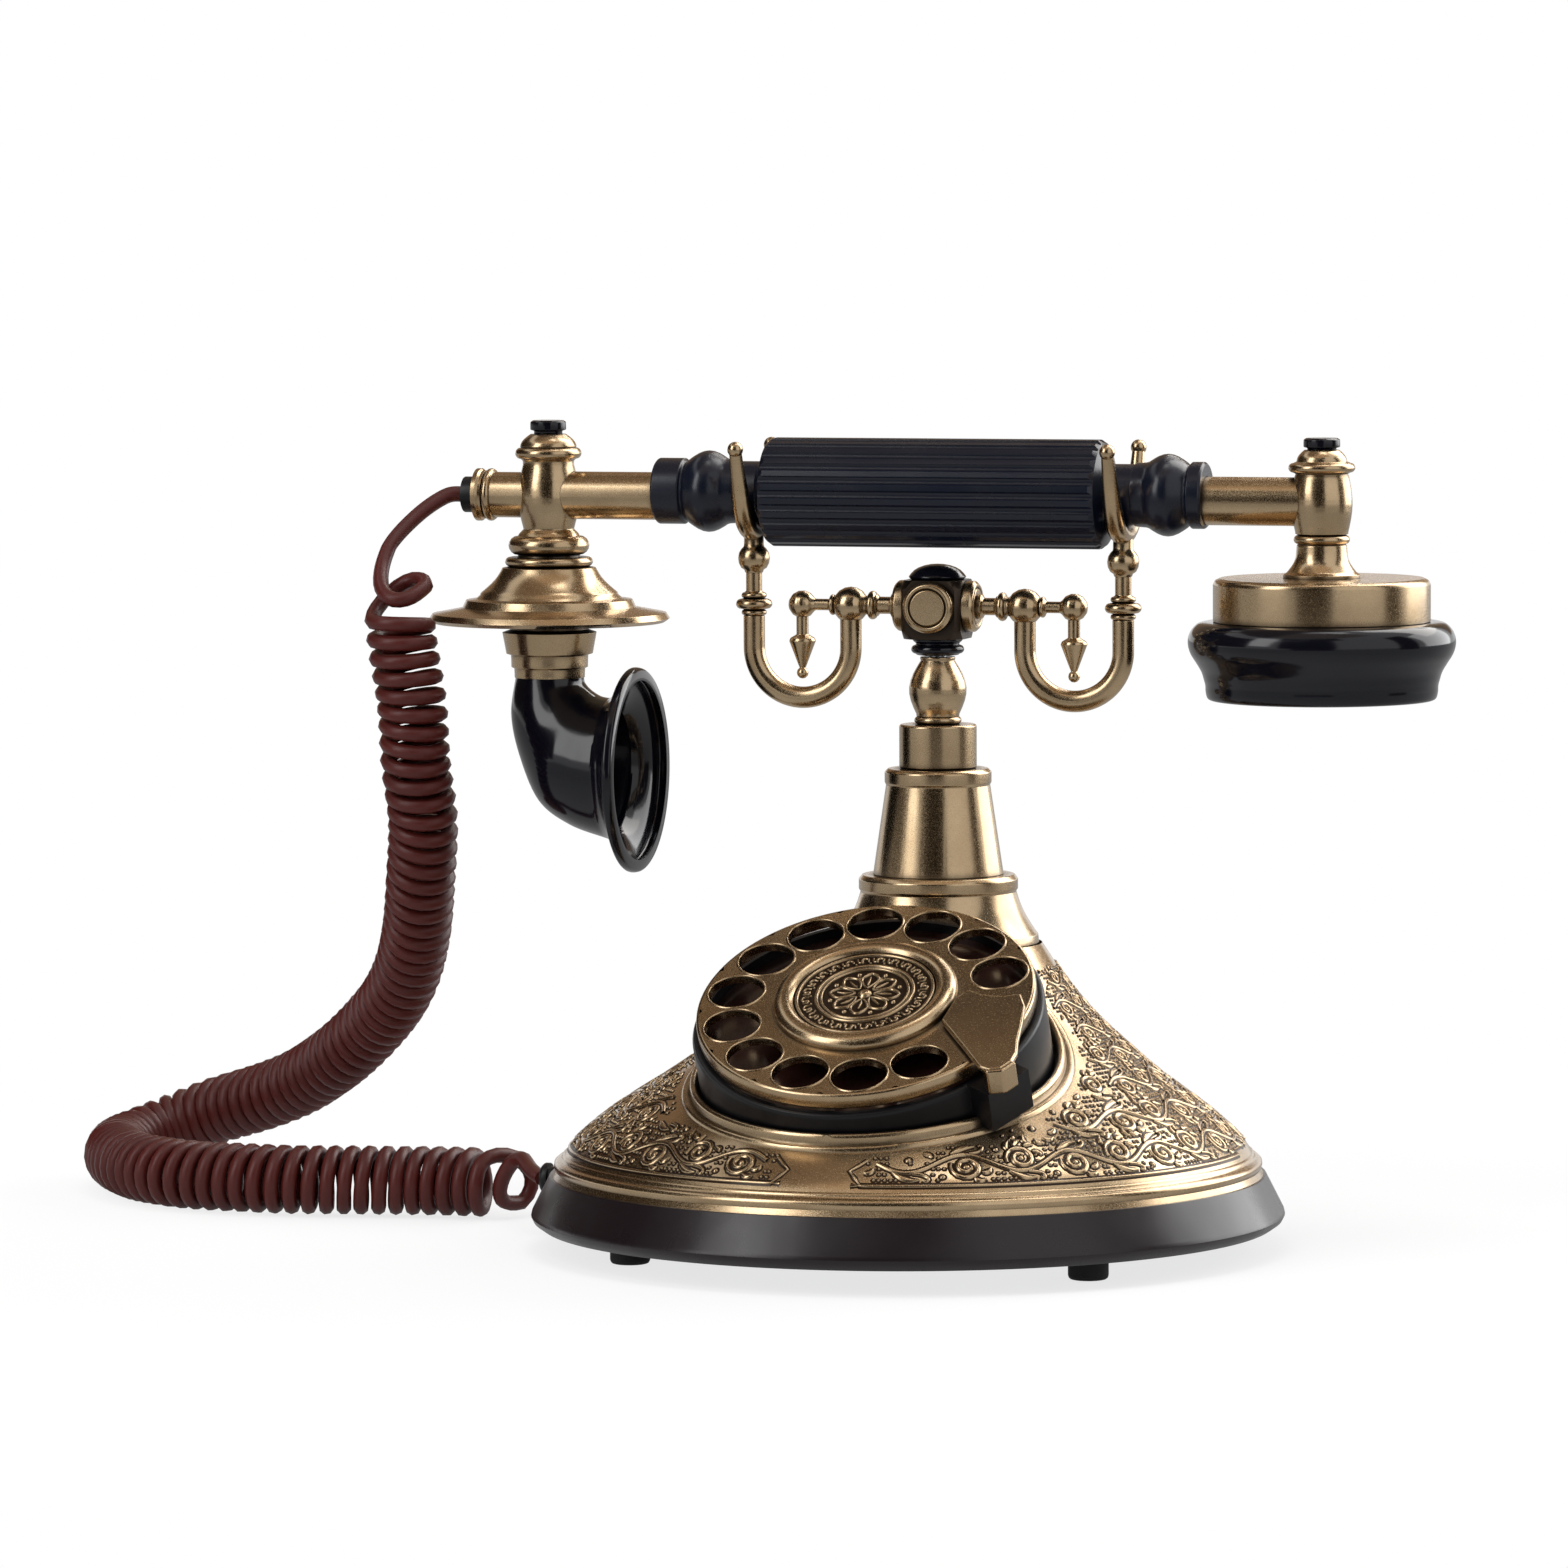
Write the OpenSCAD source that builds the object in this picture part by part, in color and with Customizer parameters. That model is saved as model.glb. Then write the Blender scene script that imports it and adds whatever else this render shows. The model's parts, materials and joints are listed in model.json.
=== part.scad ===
// Antique style rotary telephone: a bell-shaped brass base with a dial, a turned column,
// a cross-bar cradle that works the hook switch, and a handset on a curly cord.
// Millimetres. X runs along the handset, Y to the rear, Z up from the table.

/* [Base] */
// Radius of the dark rim at its widest
rim_r = 104; // [100:0.5:108]
// Height of the dark rim
rim_h = 13.9; // [12:0.1:16]
// Width of the dark rim, from its bore to its widest
rim_w = 18; // [16:0.5:20]
// Clear height of the rim above the table
foot_h = 6.8; // [6:0.1:10]
// Radius of each rubber foot
foot_r = 5.5; // [4:0.5:7]
// Distance of the feet's middles from the rim's widest
foot_inset = 21.8; // [20:0.1:26]
// Direction of the front right foot from the side of the base, in degrees
foot_angle = 38.4; // [35:0.1:45]
// Thickness of the steel bottom plate
plate_t = 2.5; // [2:0.5:3]
// Depth of the bottom plate's seat in the rim
plate_recess = 2; // [1:0.5:2]

/* [Bell] */
// Width of the rim that shows below the bell's foot
bell_step = 6; // [5.5:0.1:8]
// Radius of the brass bell at its top
bell_top_r = 28.9; // [28:0.1:30]
// Height of the brass bell
bell_h = 60.9; // [60:0.1:62]
// Wall of the brass bell
bell_wall = 2.4; // [1.5:0.1:3]
// How far the column stands behind the middle of the base
column_y = 33; // [31:0.5:35]

/* [Column] */
// Height of the round collar on top of the bell
collar_h = 19.1; // [18:0.1:21]
// Radius of the collar at its top
collar_r = 21.3; // [20.5:0.1:24]
// Height of the tapered part of the column
cone_h = 29.6; // [26:0.1:34]
// Radius of the taper at its foot
cone_r = 18.2; // [17:0.1:20]
// Radius of the taper at its top
cone_top_r = 14; // [13:0.1:15]
// Height of the drum on top of the taper
drum_h = 12.3; // [10:0.1:15]
// Radius of the drum
drum_r = 10.8; // [9:0.05:12]
// Height of the vase that guides the plunger rod
vase_h = 16.6; // [15:0.1:18]
// Radius of the vase at its widest
vase_r = 8; // [7.5:0.1:8.5]
// Wall of the collar and of the taper
column_wall = 3; // [2:0.5:4]
// Outer radius of the tube that holds the column together
tube_r = 5; // [4.5:0.1:5.5]

/* [Dial] */
// Height of the middle of the finger wheel above the table
dial_z = 72.3; // [72:0.1:75]
// Place of the middle of the finger wheel in front of the base's middle
dial_y = -41.7; // [-46:0.1:-41]
// Lean of the dial towards the user, in degrees
dial_tilt = 28.25; // [27:0.25:30]
// Thickness of the finger wheel
wheel_t = 2.2; // [1.8:0.1:2.6]
// Height of the finger wheel's edge, which is turned down
wheel_edge_h = 4.4; // [3:0.1:5]
// Width of the wheel between the finger holes and its edge
wheel_margin = 2; // [1.8:0.1:3]
// Width of the wheel between two finger holes, where it is narrowest
finger_web = 1.4; // [1.2:0.1:2]
// Number of finger holes
finger_count = 12; // [10:1:12]
// Angle between two finger holes, in degrees
finger_step = 25.9; // [25:0.1:26.5]
// Angle of the first finger hole, from the right-hand side, in degrees
finger_first = -53; // [-56:1:-52]
// Gap between the finger holes and the raised ring on the wheel
hub_margin = 4; // [3.5:0.1:6]
// Height of the raised ring
hub_h = 3.3; // [2.5:0.1:4]
// Outer radius of the dial's black housing
housing_r = 48.3; // [48:0.1:49]
// Depth of the housing from its rim to its floor
housing_h = 25.8; // [25:0.1:28]
// Gap between the finger wheel's edge and the outside of the housing, seen from above
wheel_step = 1.8; // [1.5:0.1:3]
// Wall of the housing
housing_wall = 2.5; // [2:0.1:3]
// Radius of the dial's shaft
shaft_r = 3; // [2.5:0.1:3.5]
// Teeth on the dial gear
gear_teeth = 48; // [48:12:48]
// Teeth on the governor's pinion
pinion_teeth = 12; // [12:1:12]
// Pitch diameter of a gear for each of its teeth
gear_module = 0.8; // [0.7:0.05:0.85]

/* [Cradle] */
// Width and depth of the block that carries the cradle's arms
block_w = 17; // [16:0.5:18]
// Height of that block
block_h = 16.4; // [15.5:0.1:17]
// Radius of the round bosses on the block
boss_r = 7.1; // [6.5:0.1:7.6]
// How far the bosses stand out of the block
boss_h = 3.2; // [2.5:0.1:3.5]
// Distance of the hook's inner leg from the column
hook_in_x = 25.1; // [24.5:0.1:26]
// Distance of the hook's outer leg and of the fork from the column
hook_out_x = 53.2; // [52.5:0.1:53.8]
// Radius of the hook's rod
hook_rod_r = 3; // [2.5:0.05:3.1]
// Height of the hook's bend under the arms' axis
hook_drop = 12; // [10:0.5:14]
// Radius of one prong of the fork
prong_r = 2.1; // [1.8:0.1:2.3]
// Half the spread of the prongs' tips
prong_spread = 17.9; // [17:0.1:19]
// Height of the prongs' tips above the grip's axis
prong_rise = 12.2; // [10:0.1:14]
// Travel of the cradle when the handset is lifted
plunger_travel = 4; // [3:0.5:4]
// Radius of the plunger rod
rod_r = 2.5; // [2.2:0.1:2.6]

/* [Handset] */
// Height of the handset's axis above the table
handset_z = 205.4; // [205:0.1:207]
// How far the grip stands above the axis of the brass tubes
grip_rise = 1.5; // [0:0.1:1.8]
// Distance of the mouthpiece's axis from the column
mouth_reach = 113.4; // [111:0.1:118]
// Distance of the earpiece's axis from the column
ear_reach = 109.4; // [107:0.1:114]
// Radius of the grip
grip_r = 15.2; // [14:0.05:15.5]
// Half the length of the fluted part of the grip
grip_half = 46.8; // [45:0.1:47]
// Number of flutes round the grip
flute_count = 24; // [20:1:28]
// Radius of the handset's waist, where the fork holds it
waist_r = 8.5; // [8:0.1:9]
// Radius of the bulb on each ferrule
bulb_r = 11.75; // [11:0.05:13]
// Radius of the brass tubes between the ferrules and the fittings
arm_tube_r = 6.7; // [6:0.1:6.8]
// Radius of the urn in the mouthpiece fitting
mouth_urn_r = 8.7; // [8.4:0.1:9.5]
// Radius of the urn in the earpiece fitting
ear_urn_r = 8.4; // [8.2:0.1:9.5]
// Radius of the flat disc above the mouthpiece
mouth_disc_r = 34; // [32:0.5:36]
// Radius of the mouthpiece's flared rim
horn_rim_r = 28.8; // [26:0.1:29]
// Wall of the mouthpiece horn
horn_wall = 1.8; // [1.5:0.1:2.2]
// Radius of the brass drum on the earpiece
ear_drum_r = 29.9; // [28:0.1:31]
// Radius of the black ear cup
ear_cup_r = 36.8; // [35:0.1:38]
// Depth of the dish in the ear cup
ear_dish = 5.5; // [5:0.1:6.5]

/* [Cord] */
// Diameter of the handset cord
cord_d = 4.4; // [4:0.1:5]
// Outer diameter of the curly part of the cord
coil_d = 20; // [16:0.5:22]

/* [Fits] */
// Gap left between pieces that only pass each other
gap = 0.3; // [0.25:0.05:0.4]
// Gap round a shaft that turns or slides
run = 0.05; // [0.03:0.01:0.08]
// Gap round a piece that is seated in a bore
seat = 0.02; // [0.01:0.01:0.04]

/* [Hidden] */
$fn = 64;
brass = "#a98a56";
dark_brass = "#5d4a2c";
black = "#15151a";
navy = "#1c2030";
brown_black = "#2b2024";
maroon = "#5a2620";
steel = "#9a9ca0";
copper = "#a4573a";
board_green = "#2c5a38";

// Half the difference between the two overhangs, which puts the origin under the middle.
stand_x = ((mouth_reach + mouth_disc_r) - (ear_reach + ear_cup_r)) / 2;

// Levels of the base
rim_top = foot_h + rim_h;
rim_bore_r = rim_r - rim_w;
bell_r = rim_r - bell_step;
foot_r_out = rim_r - foot_inset;
foot_x = foot_r_out * cos(foot_angle);
foot_y = foot_r_out * sin(foot_angle);
plate_z = foot_h + plate_recess;
floor_z = plate_z + plate_t;
plate_r = rim_r - 8.3;
rim_foot_r = rim_r - 3;
rim_top_r = rim_r - 5.2;
ledge_mid_r = (rim_bore_r + plate_r) / 2;
screw_r = 1.6;
screw_head_r = 2.8;
screw_head_h = 1.4;
screw_l = 6;
bell_top = rim_top + bell_h;
bell_sides = 60;

// Levels of the column
collar_top = bell_top + collar_h;
cone_top = collar_top + cone_h;
drum_top = cone_top + drum_h;
drum_ring_h = 2.2;
drum_ring_r = 6.6;
vase_z = drum_top + drum_ring_h;
vase_top = vase_z + vase_h;
tube_bore_r = rod_r + 0.7;
nut_h = 4;
nut_across = 16;

// Levels of the cradle
flange_z = vase_top + 0.5;
flange_h = 4.6;
flange_r = 7.4;
block_z = flange_z + flange_h;
arm_z = block_z + block_h / 2 + 0.8;
hook_z = arm_z - hook_drop;
hook_bend_r = (hook_out_x - hook_in_x) / 2;
ball_r = 5.1;
small_ball_x = (hook_in_x + hook_out_x) / 2;
small_ball_r = 3.9;
hook_top = arm_z + 8.8;
fork_h = 6;
fork_base_r = 4.2;
knuckle_r = prong_r + 0.4;
saddle_r = waist_r + gap + knuckle_r;
grip_z = handset_z + grip_rise;
// The prongs run straight on from the saddle's ends to their tips
saddle_end = acos(saddle_r / norm([prong_spread, prong_rise])) - atan2(prong_rise, prong_spread);

// The plunger rod and the switch that it works
switch_top = 56;
spring_r = 5;
rod_collar_z = switch_top + 24;
rod_end = switch_top - 3 - plunger_travel;
lever_arm = 15;
lever_t = 2;
lever_z = rod_end - lever_t / 2 - gap;
lever_pin_r = 1;

// Levels along the dial's axis, from the middle of the finger wheel
wheel_r = housing_r - wheel_step;
// The holes fill the circle: each web is as wide as named, and so is the margin outside them
finger_circle_r = (wheel_r - wheel_margin + finger_web / 2) / (1 + sin(finger_step / 2));
finger_r = finger_circle_r * sin(finger_step / 2) - finger_web / 2;
hub_r = finger_circle_r - finger_r - hub_margin;
wheel_top = wheel_t / 2;
wheel_foot = wheel_top - wheel_edge_h;
housing_top = wheel_foot - 0.9;
housing_floor = housing_top - housing_h;
floor_t = 2;
plate_s = housing_top - 3.7;
number_plate_t = 1;
gear_s = plate_s - 4.5;
gear_t = 2.5;
shaft_end = housing_floor + floor_t + 1;
bearing_r = 5;
bearing_top = gear_s - 2.6;
gear_r = gear_teeth * gear_module / 2;
pinion_r = pinion_teeth * gear_module / 2;
gear_distance = gear_r + pinion_r + 0.15;
pinion_shaft_r = 1.5;
cup_r = 9;
cup_h = 8;
stop_gap = 0.5;
stop_t = 1.8;
stop_angle = -33;
lug_reach = 7;
lug_w = 15;
lug_h = 12;
dial_hole_r = housing_r + gap;

// The handset
waist_x = hook_out_x + prong_r + 1.7;
mouth_ferrule_l = 24;
ear_ferrule_l = 20;
function ferrule_end(side) = waist_x + (side < 0 ? mouth_ferrule_l : ear_ferrule_l);
bulb_x = waist_x + 9.3;
tube_seat = 5;
horn_top = handset_z - 51.4;
mouth_base = handset_z - 17.4;
ear_base = handset_z - 20.9;
ear_cup_top = handset_z - 32.9;
ear_cup_h = 21.5;
ear_face = ear_cup_top - ear_cup_h;
horn_bore_r = 9.65 - horn_wall;
capsule_r = 11.8;
receiver_r = 24;
mouth_cap_h = 18.2;
ear_cap_h = 14.5;
knob_r = 5.05;
hub_out = mouth_urn_r + 7;
hub_ring_l = 5.2;
gland_l = 3.9;

// ---------- shared shapes ----------

module on_base(z = 0) translate([stand_x, 0, z]) children();
module on_column(z = 0) translate([stand_x, column_y, z]) children();
module on_mouth(z = 0) translate([stand_x - mouth_reach, column_y, z]) children();
module on_ear(z = 0) translate([stand_x + ear_reach, column_y, z]) children();
module on_handset(x = 0) translate([stand_x + x, column_y, handset_z]) children();
module on_grip() translate([stand_x, column_y, grip_z]) children();
module on_dial(s = 0) translate([stand_x, dial_y, dial_z]) rotate([dial_tilt, 0, 0])
    translate([0, 0, s]) children();
// Turns Z to +X for side 1, and to -X for side -1
module outwards(side = 1) rotate([0, 90 * side, 0]) children();
module turned(profile) rotate_extrude() polygon(profile);
module disc(r, h) cylinder(r = r, h = h);
module sleeve(r, bore, h) difference() {
    cylinder(r = r, h = h);
    translate([0, 0, -1]) cylinder(r = bore, h = h + 2);
}

// Points of a round bead that bulges out to radius r, from z to z + h
function bead(r, z, h) = [for (a = [-90 : 22.5 : 90])
    [r - h / 2 + h / 2 * cos(a), z + h / 2 + h / 2 * sin(a)]];
// Points of a side from [r0, z0] to [r1, z1] that bulges by b half way up
function swell(r0, z0, r1, z1, b, n = 8) =
    [for (i = [0 : n]) let (t = i / n) [r0 + (r1 - r0) * t + b * sin(180 * t), z0 + (z1 - z0) * t]];
// A point on a smooth curve through the points p, at the place t
function knot(p, i) = p[max(0, min(len(p) - 1, i))];
function smooth(p, t) =
    let (i = min(floor(t), len(p) - 2), f = t - i,
         a = knot(p, i - 1), b = knot(p, i), c = knot(p, i + 1), d = knot(p, i + 2))
    0.5 * (2 * b + f * (c - a) + f * f * (2 * a - 5 * b + 4 * c - d) + f * f * f * (3 * b - a - 3 * c + d));
function unit(v) = v / norm(v);

// Faces of a skin over rings of n points each, closed into a loop or capped at its ends
function skin_faces(rings, n, loop) = [
    for (i = [0 : rings - (loop ? 1 : 2)]) for (j = [0 : n - 1])
        let (k = (i + 1) % rings, m = (j + 1) % n)
        each [[i * n + j, i * n + m, k * n + m], [i * n + j, k * n + m, k * n + j]]
];
module skin(rings, loop = false) {
    n = len(rings[0]);
    caps = loop ? [] : [[for (j = [n - 1 : -1 : 0]) j], [for (j = [0 : n - 1]) (len(rings) - 1) * n + j]];
    polyhedron([for (r = rings) each r], concat(skin_faces(len(rings), n, loop), caps));
}
// A round cord of radius r through the points p; its ends face along the given directions
function across(d) = unit(abs(d[2]) > 0.9 ? [d[2], 0, -d[0]] : [d[1], -d[0], 0]);
function turn_to(s, d) = unit(s - (s * d) * d);
function frames(dirs, i = 0, s = undef) =
    i >= len(dirs) ? [] :
    let (now = i == 0 ? across(dirs[0]) : turn_to(s, dirs[i]))
    concat([now], frames(dirs, i + 1, now));
module cord(p, r, steps, first, last, sides = 8) {
    n = len(p) - 1;
    at = [for (i = [0 : steps]) smooth(p, n * i / steps)];
    dirs = [for (i = [0 : steps]) i == 0 ? first : i == steps ? last : unit(at[i + 1] - at[i - 1])];
    side = frames(dirs);
    skin([for (i = [0 : steps]) let (u = side[i], v = cross(dirs[i], u))
        [for (j = [0 : sides - 1]) at[i] + r * (cos(360 * j / sides) * u + sin(360 * j / sides) * v)]]);
}

// ---------- base ----------

// Share of the height, of the way in, and of the way back to the column, from foot to top
bell_line = [
    [0, 0, 0], [0.08, 0.037, 0.015], [0.156, 0.088, 0.03], [0.268, 0.203, 0.07], [0.358, 0.318, 0.13],
    [0.448, 0.44, 0.22], [0.563, 0.579, 0.36], [0.662, 0.695, 0.49], [0.76, 0.797, 0.63],
    [0.874, 0.9, 0.81],
    [0.947, 0.959, 0.93], [1, 1, 1]
];
// The wall measured level, which is more than the wall measured square to the slope
bell_level_wall = bell_wall / cos(atan((bell_r - bell_top_r) / bell_h));
function bell_ring(t, inset) =
    let (q = smooth(bell_line, t * (len(bell_line) - 1)), r = bell_r + (bell_top_r - bell_r) * q[1] - inset)
    [for (j = [0 : bell_sides - 1]) let (a = 360 * j / bell_sides)
        [r * cos(a), column_y * q[2] + r * sin(a), rim_top + bell_h * q[0]]];

module dial_hole() on_dial(-45) disc(dial_hole_r, 90);

module base_shell() color(brass) difference() {
    on_base() skin([
        for (i = [0 : 18]) bell_ring(i / 18, 0),
        for (i = [12 : -1 : 0]) bell_ring(i / 12, bell_level_wall)
    ], loop = true);
    dial_hole();
}

jack_w = 15;
jack_h = rim_top - floor_z - 0.2;
jack_face = rim_r - 6;
jack_l = 18;
bush_z = 16;
bush_r = 3.4;

module base_rim() color(brown_black) on_base() difference() {
    turned([
        [rim_bore_r, floor_z], [plate_r + gap, floor_z], [plate_r + gap, foot_h], [rim_foot_r, foot_h],
        [rim_r - 0.7, foot_h + 1.6], [rim_r, foot_h + 3], [rim_r - 0.3, foot_h + 4.2],
        [rim_top_r, rim_top], [rim_bore_r, rim_top]
    ]);
    for (a = [45 : 90 : 315]) rotate(a) translate([ledge_mid_r, 0, floor_z - 1])
        disc(screw_r + run, screw_l + 1);
    translate([-jack_w / 2 - gap, rim_bore_r - 4, floor_z - 1])
        cube([jack_w + 2 * gap, rim_w + 10, jack_h + 1 + gap]);
    translate([-rim_bore_r + 2, 0, bush_z]) outwards(-1) disc(bush_r + seat, rim_w + 10);
}

module bottom_plate() color(steel) on_base(plate_z) difference() {
    disc(plate_r, plate_t);
    for (a = [45 : 90 : 315]) rotate(a) translate([ledge_mid_r, 0, -1]) disc(screw_r + 0.2, plate_t + 2);
}

module base_screws() color(steel) on_base() for (a = [45 : 90 : 315]) rotate(a)
    translate([ledge_mid_r, 0, plate_z]) {
        translate([0, 0, -screw_head_h]) disc(screw_head_r, screw_head_h);
        disc(screw_r, plate_t + screw_l - 1);
    }

module rubber_feet() color(black) on_base() for (x = [-foot_x, foot_x], y = [-foot_y, foot_y])
    translate([x, y, 0])
        turned([[0, 0], [foot_r - 0.6, 0], [foot_r, 0.8], [foot_r, plate_z], [0, plate_z]]);

ballast = [56, 26, 7];
ballast_y = 14 - rim_bore_r;
module ballast_weight() color(steel) on_base(floor_z) translate([-ballast[0] / 2, ballast_y, 0])
    cube(ballast);

plug_w = 9.8;
plug_h = 6.8;
module line_jack() color(black) on_base(floor_z) difference() {
    translate([-jack_w / 2, jack_face - jack_l, 0]) cube([jack_w, jack_l, jack_h]);
    translate([-plug_w / 2, jack_face - jack_l + 4, 1.4]) cube([plug_w, jack_l, plug_h]);
}

bush_face = rim_r + 2;
module cord_bush() color(black) on_base(bush_z) translate([-bush_face, 0, 0]) outwards(1) union() {
    turned([[0, 0], [3.4, 0], [4.4, 1], [4.4, 2.6], [0, 2.6]]);
    disc(bush_r, bush_face - rim_bore_r + 1);
}

board = [40, 56, 1.6];
board_at = [22 - rim_bore_r, -6];
board_post = 5;
module circuit_board() color(board_green) on_base(floor_z) translate([board_at[0], board_at[1], 0]) {
    translate([0, 0, board_post]) cube(board);
    for (x = [4, board[0] - 4], y = [4, board[1] - 4]) translate([x, y, 0]) disc(2, board_post);
    translate([8, 14, board_post + board[2]]) cube([14, 22, 4]);
}

gong_r = 17;
gong_z = 26;
gong_h = 8;
gong_x = rim_bore_r - 48;
gong_y = 28;
gong_clear = 9.4;
gong_post_r = 2.5;
module ringer_gongs() color(brass) on_base() for (side = [-1, 1])
    translate([gong_x, gong_y + side * (gong_r + gong_clear / 2), 0]) {
        translate([0, 0, gong_z]) turned([
            [gong_r - 1.2, 0], [gong_r, 0], each swell(gong_r, 0.5, gong_post_r, gong_h, 6), [0, gong_h],
            [0, gong_h - 1.4], each swell(gong_post_r, gong_h - 1.4, gong_r - 1.4, 0, 5)
        ]);
        translate([0, 0, floor_z]) disc(gong_post_r, gong_z - floor_z + gong_h - 1.2);
    }

coil_x = gong_x + 25;
clapper_x = gong_x + 20;
clapper_z = gong_z + 3;
module ringer_coil() color(copper) on_base(floor_z) {
    translate([coil_x, gong_y - 9, 0]) cube([14, 18, 8]);
    for (side = [-1, 1]) translate([coil_x + 7, gong_y + side * 4.6, 8]) disc(3.6, 6);
    difference() {
        translate([clapper_x - 3, gong_y - 3, 0]) cube([6, 6, 13]);
        translate([clapper_x, gong_y, 3]) disc(1 + run, 20);
    }
}
clapper_r = 2.4;
module ringer_clapper() color(steel) on_base() translate([clapper_x, gong_y, 0]) {
    translate([0, 0, floor_z + 5]) disc(1, clapper_z - floor_z - 5);
    translate([-1.8, -1.6, clapper_z - 2]) cube([14, 3.2, 3.6]);
    translate([0, 0, clapper_z]) outwards(-1) turned([
        [0, 0], [0.9, 0], [0.9, clapper_x - gong_x - clapper_r],
        for (a = [-60 : 30 : 60]) [clapper_r * cos(a), clapper_x - gong_x + clapper_r * sin(a)],
        [0, clapper_x - gong_x + clapper_r]
    ]);
}

switch_w = 22;
switch_d = 14;
module hook_switch() color(black) on_column() difference() {
    union() {
        translate([-switch_w / 2, -switch_d / 2, floor_z]) cube([switch_w + 8, switch_d, 3]);
        translate([-switch_w / 2, -switch_d / 2, floor_z]) cube([4, switch_d, switch_top - floor_z]);
        translate([-switch_w / 2, -switch_d / 2, switch_top - 3]) cube([switch_w, switch_d, 3]);
        for (side = [-1, 1]) translate([lever_arm - 3, side * 5 - 1.5, floor_z])
            cube([6, 3, lever_z + 3 - floor_z]);
    }
    translate([0, 0, switch_top - 8]) disc(rod_r + run, 20);
    translate([lever_arm, 10, lever_z]) rotate([90, 0, 0]) disc(lever_pin_r + run, 20);
}
module switch_lever() color(steel) on_column(lever_z) union() {
    translate([-3, -2.5, -lever_t / 2]) cube([lever_arm + 3, 5, lever_t]);
    translate([lever_arm, 6.5, 0]) rotate([90, 0, 0]) disc(lever_pin_r, 13);
}
module hook_spring() color(steel) on_column(switch_top)
    sleeve(spring_r, rod_r + gap, rod_collar_z - switch_top);

// ---------- dial ----------

module dial_housing() color(black) union() {
    on_dial() difference() {
        turned([
            [0, housing_floor], [housing_r, housing_floor], [housing_r, housing_top - 1.4],
            [housing_r - 0.5, housing_top - 0.4], [housing_r - 1.4, housing_top],
            [housing_r - housing_wall, housing_top], [housing_r - housing_wall, plate_s],
            [housing_r - housing_wall - 2, plate_s],
            [housing_r - housing_wall - 2, housing_floor + floor_t],
            [0, housing_floor + floor_t]
        ]);
        translate([0, 0, housing_floor - 1]) disc(bearing_r + seat, floor_t + 2);
        translate([gear_distance, 0, housing_floor - 1]) disc(pinion_shaft_r + run, floor_t + 2);
    }
    on_dial() rotate(stop_angle) difference() {
        translate([housing_r - 2, -lug_w / 2, housing_top - lug_h]) cube([2 + lug_reach, lug_w, lug_h]);
        translate([0, 0, housing_top - lug_h - 1]) disc(housing_r - 1, lug_h + 2);
    }
}

module number_plate() color("#101014") on_dial(plate_s)
    sleeve(housing_r - housing_wall - run, bearing_r + 3, number_plate_t);

// Corner points of the finger stop, as radius and angle round the dial
stop_outline = [
    [hub_r + 0.6, -20], [wheel_r + 4.5, -34], [housing_r + lug_reach, -34], [housing_r + lug_reach, -29],
    [wheel_r + 4.5, -21], [wheel_r + 0.8, -12], [wheel_r - 1.5, 2], [hub_r + 6, 2], [hub_r + 0.6, -6]];
module finger_stop() color(brass) on_dial(wheel_top + stop_gap) union() {
    linear_extrude(stop_t) polygon([for (p = stop_outline) [p[0] * cos(p[1]), p[0] * sin(p[1])]]);
    rotate(stop_angle) translate([housing_r + 1, -2.2, housing_top - wheel_top - stop_gap])
        cube([lug_reach - 2.5, 4.4, wheel_top + stop_gap - housing_top]);
}

module dial_bearing() color(brass) on_dial() union() {
    translate([0, 0, housing_floor - 2]) sleeve(bearing_r + 2, shaft_r + run, 2);
    translate([0, 0, housing_floor]) sleeve(bearing_r, shaft_r + run, bearing_top - housing_floor);
}

module governor_cup() color(brass) on_dial(housing_floor + floor_t) translate([gear_distance, 0, 0])
    sleeve(cup_r, cup_r - 1.2, cup_h);

module return_spring() color(steel) on_dial(housing_floor + floor_t) sleeve(11, bearing_r + gap, 5);

module finger_wheel() color(brass) on_dial(-wheel_top) difference() {
    turned([
        [0, 0], [wheel_r - 1.8, 0], [wheel_r - 1.5, wheel_t - wheel_edge_h],
        [wheel_r, wheel_t - wheel_edge_h],
        [wheel_r, wheel_t - 0.9], [wheel_r - 0.3, wheel_t - 0.3], [wheel_r - 0.9, wheel_t], [0, wheel_t]
    ]);
    for (i = [0 : finger_count - 1]) rotate(finger_first - i * finger_step)
        translate([finger_circle_r, 0, -1]) disc(finger_r, wheel_t + 2);
    translate([0, 0, -1]) disc(shaft_r + seat, wheel_t + 2);
}

module hub_ring() color(brass) on_dial(wheel_top) turned([
    [0, 0], [hub_r - 0.8, 0], [hub_r, 0.8], each swell(hub_r - 0.3, 1.2, hub_r - 6, hub_h, 0.9),
    [hub_r - 6.4, hub_h - 0.9], [13.6, hub_h - 0.9], [13.2, hub_h - 0.3], [12.6, hub_h - 0.3],
    [12.2, hub_h - 0.9], [3, hub_h - 0.5], [0, hub_h - 0.4]
]);

module dial_shaft() color(steel) on_dial(shaft_end) disc(shaft_r, wheel_top - shaft_end);

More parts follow.
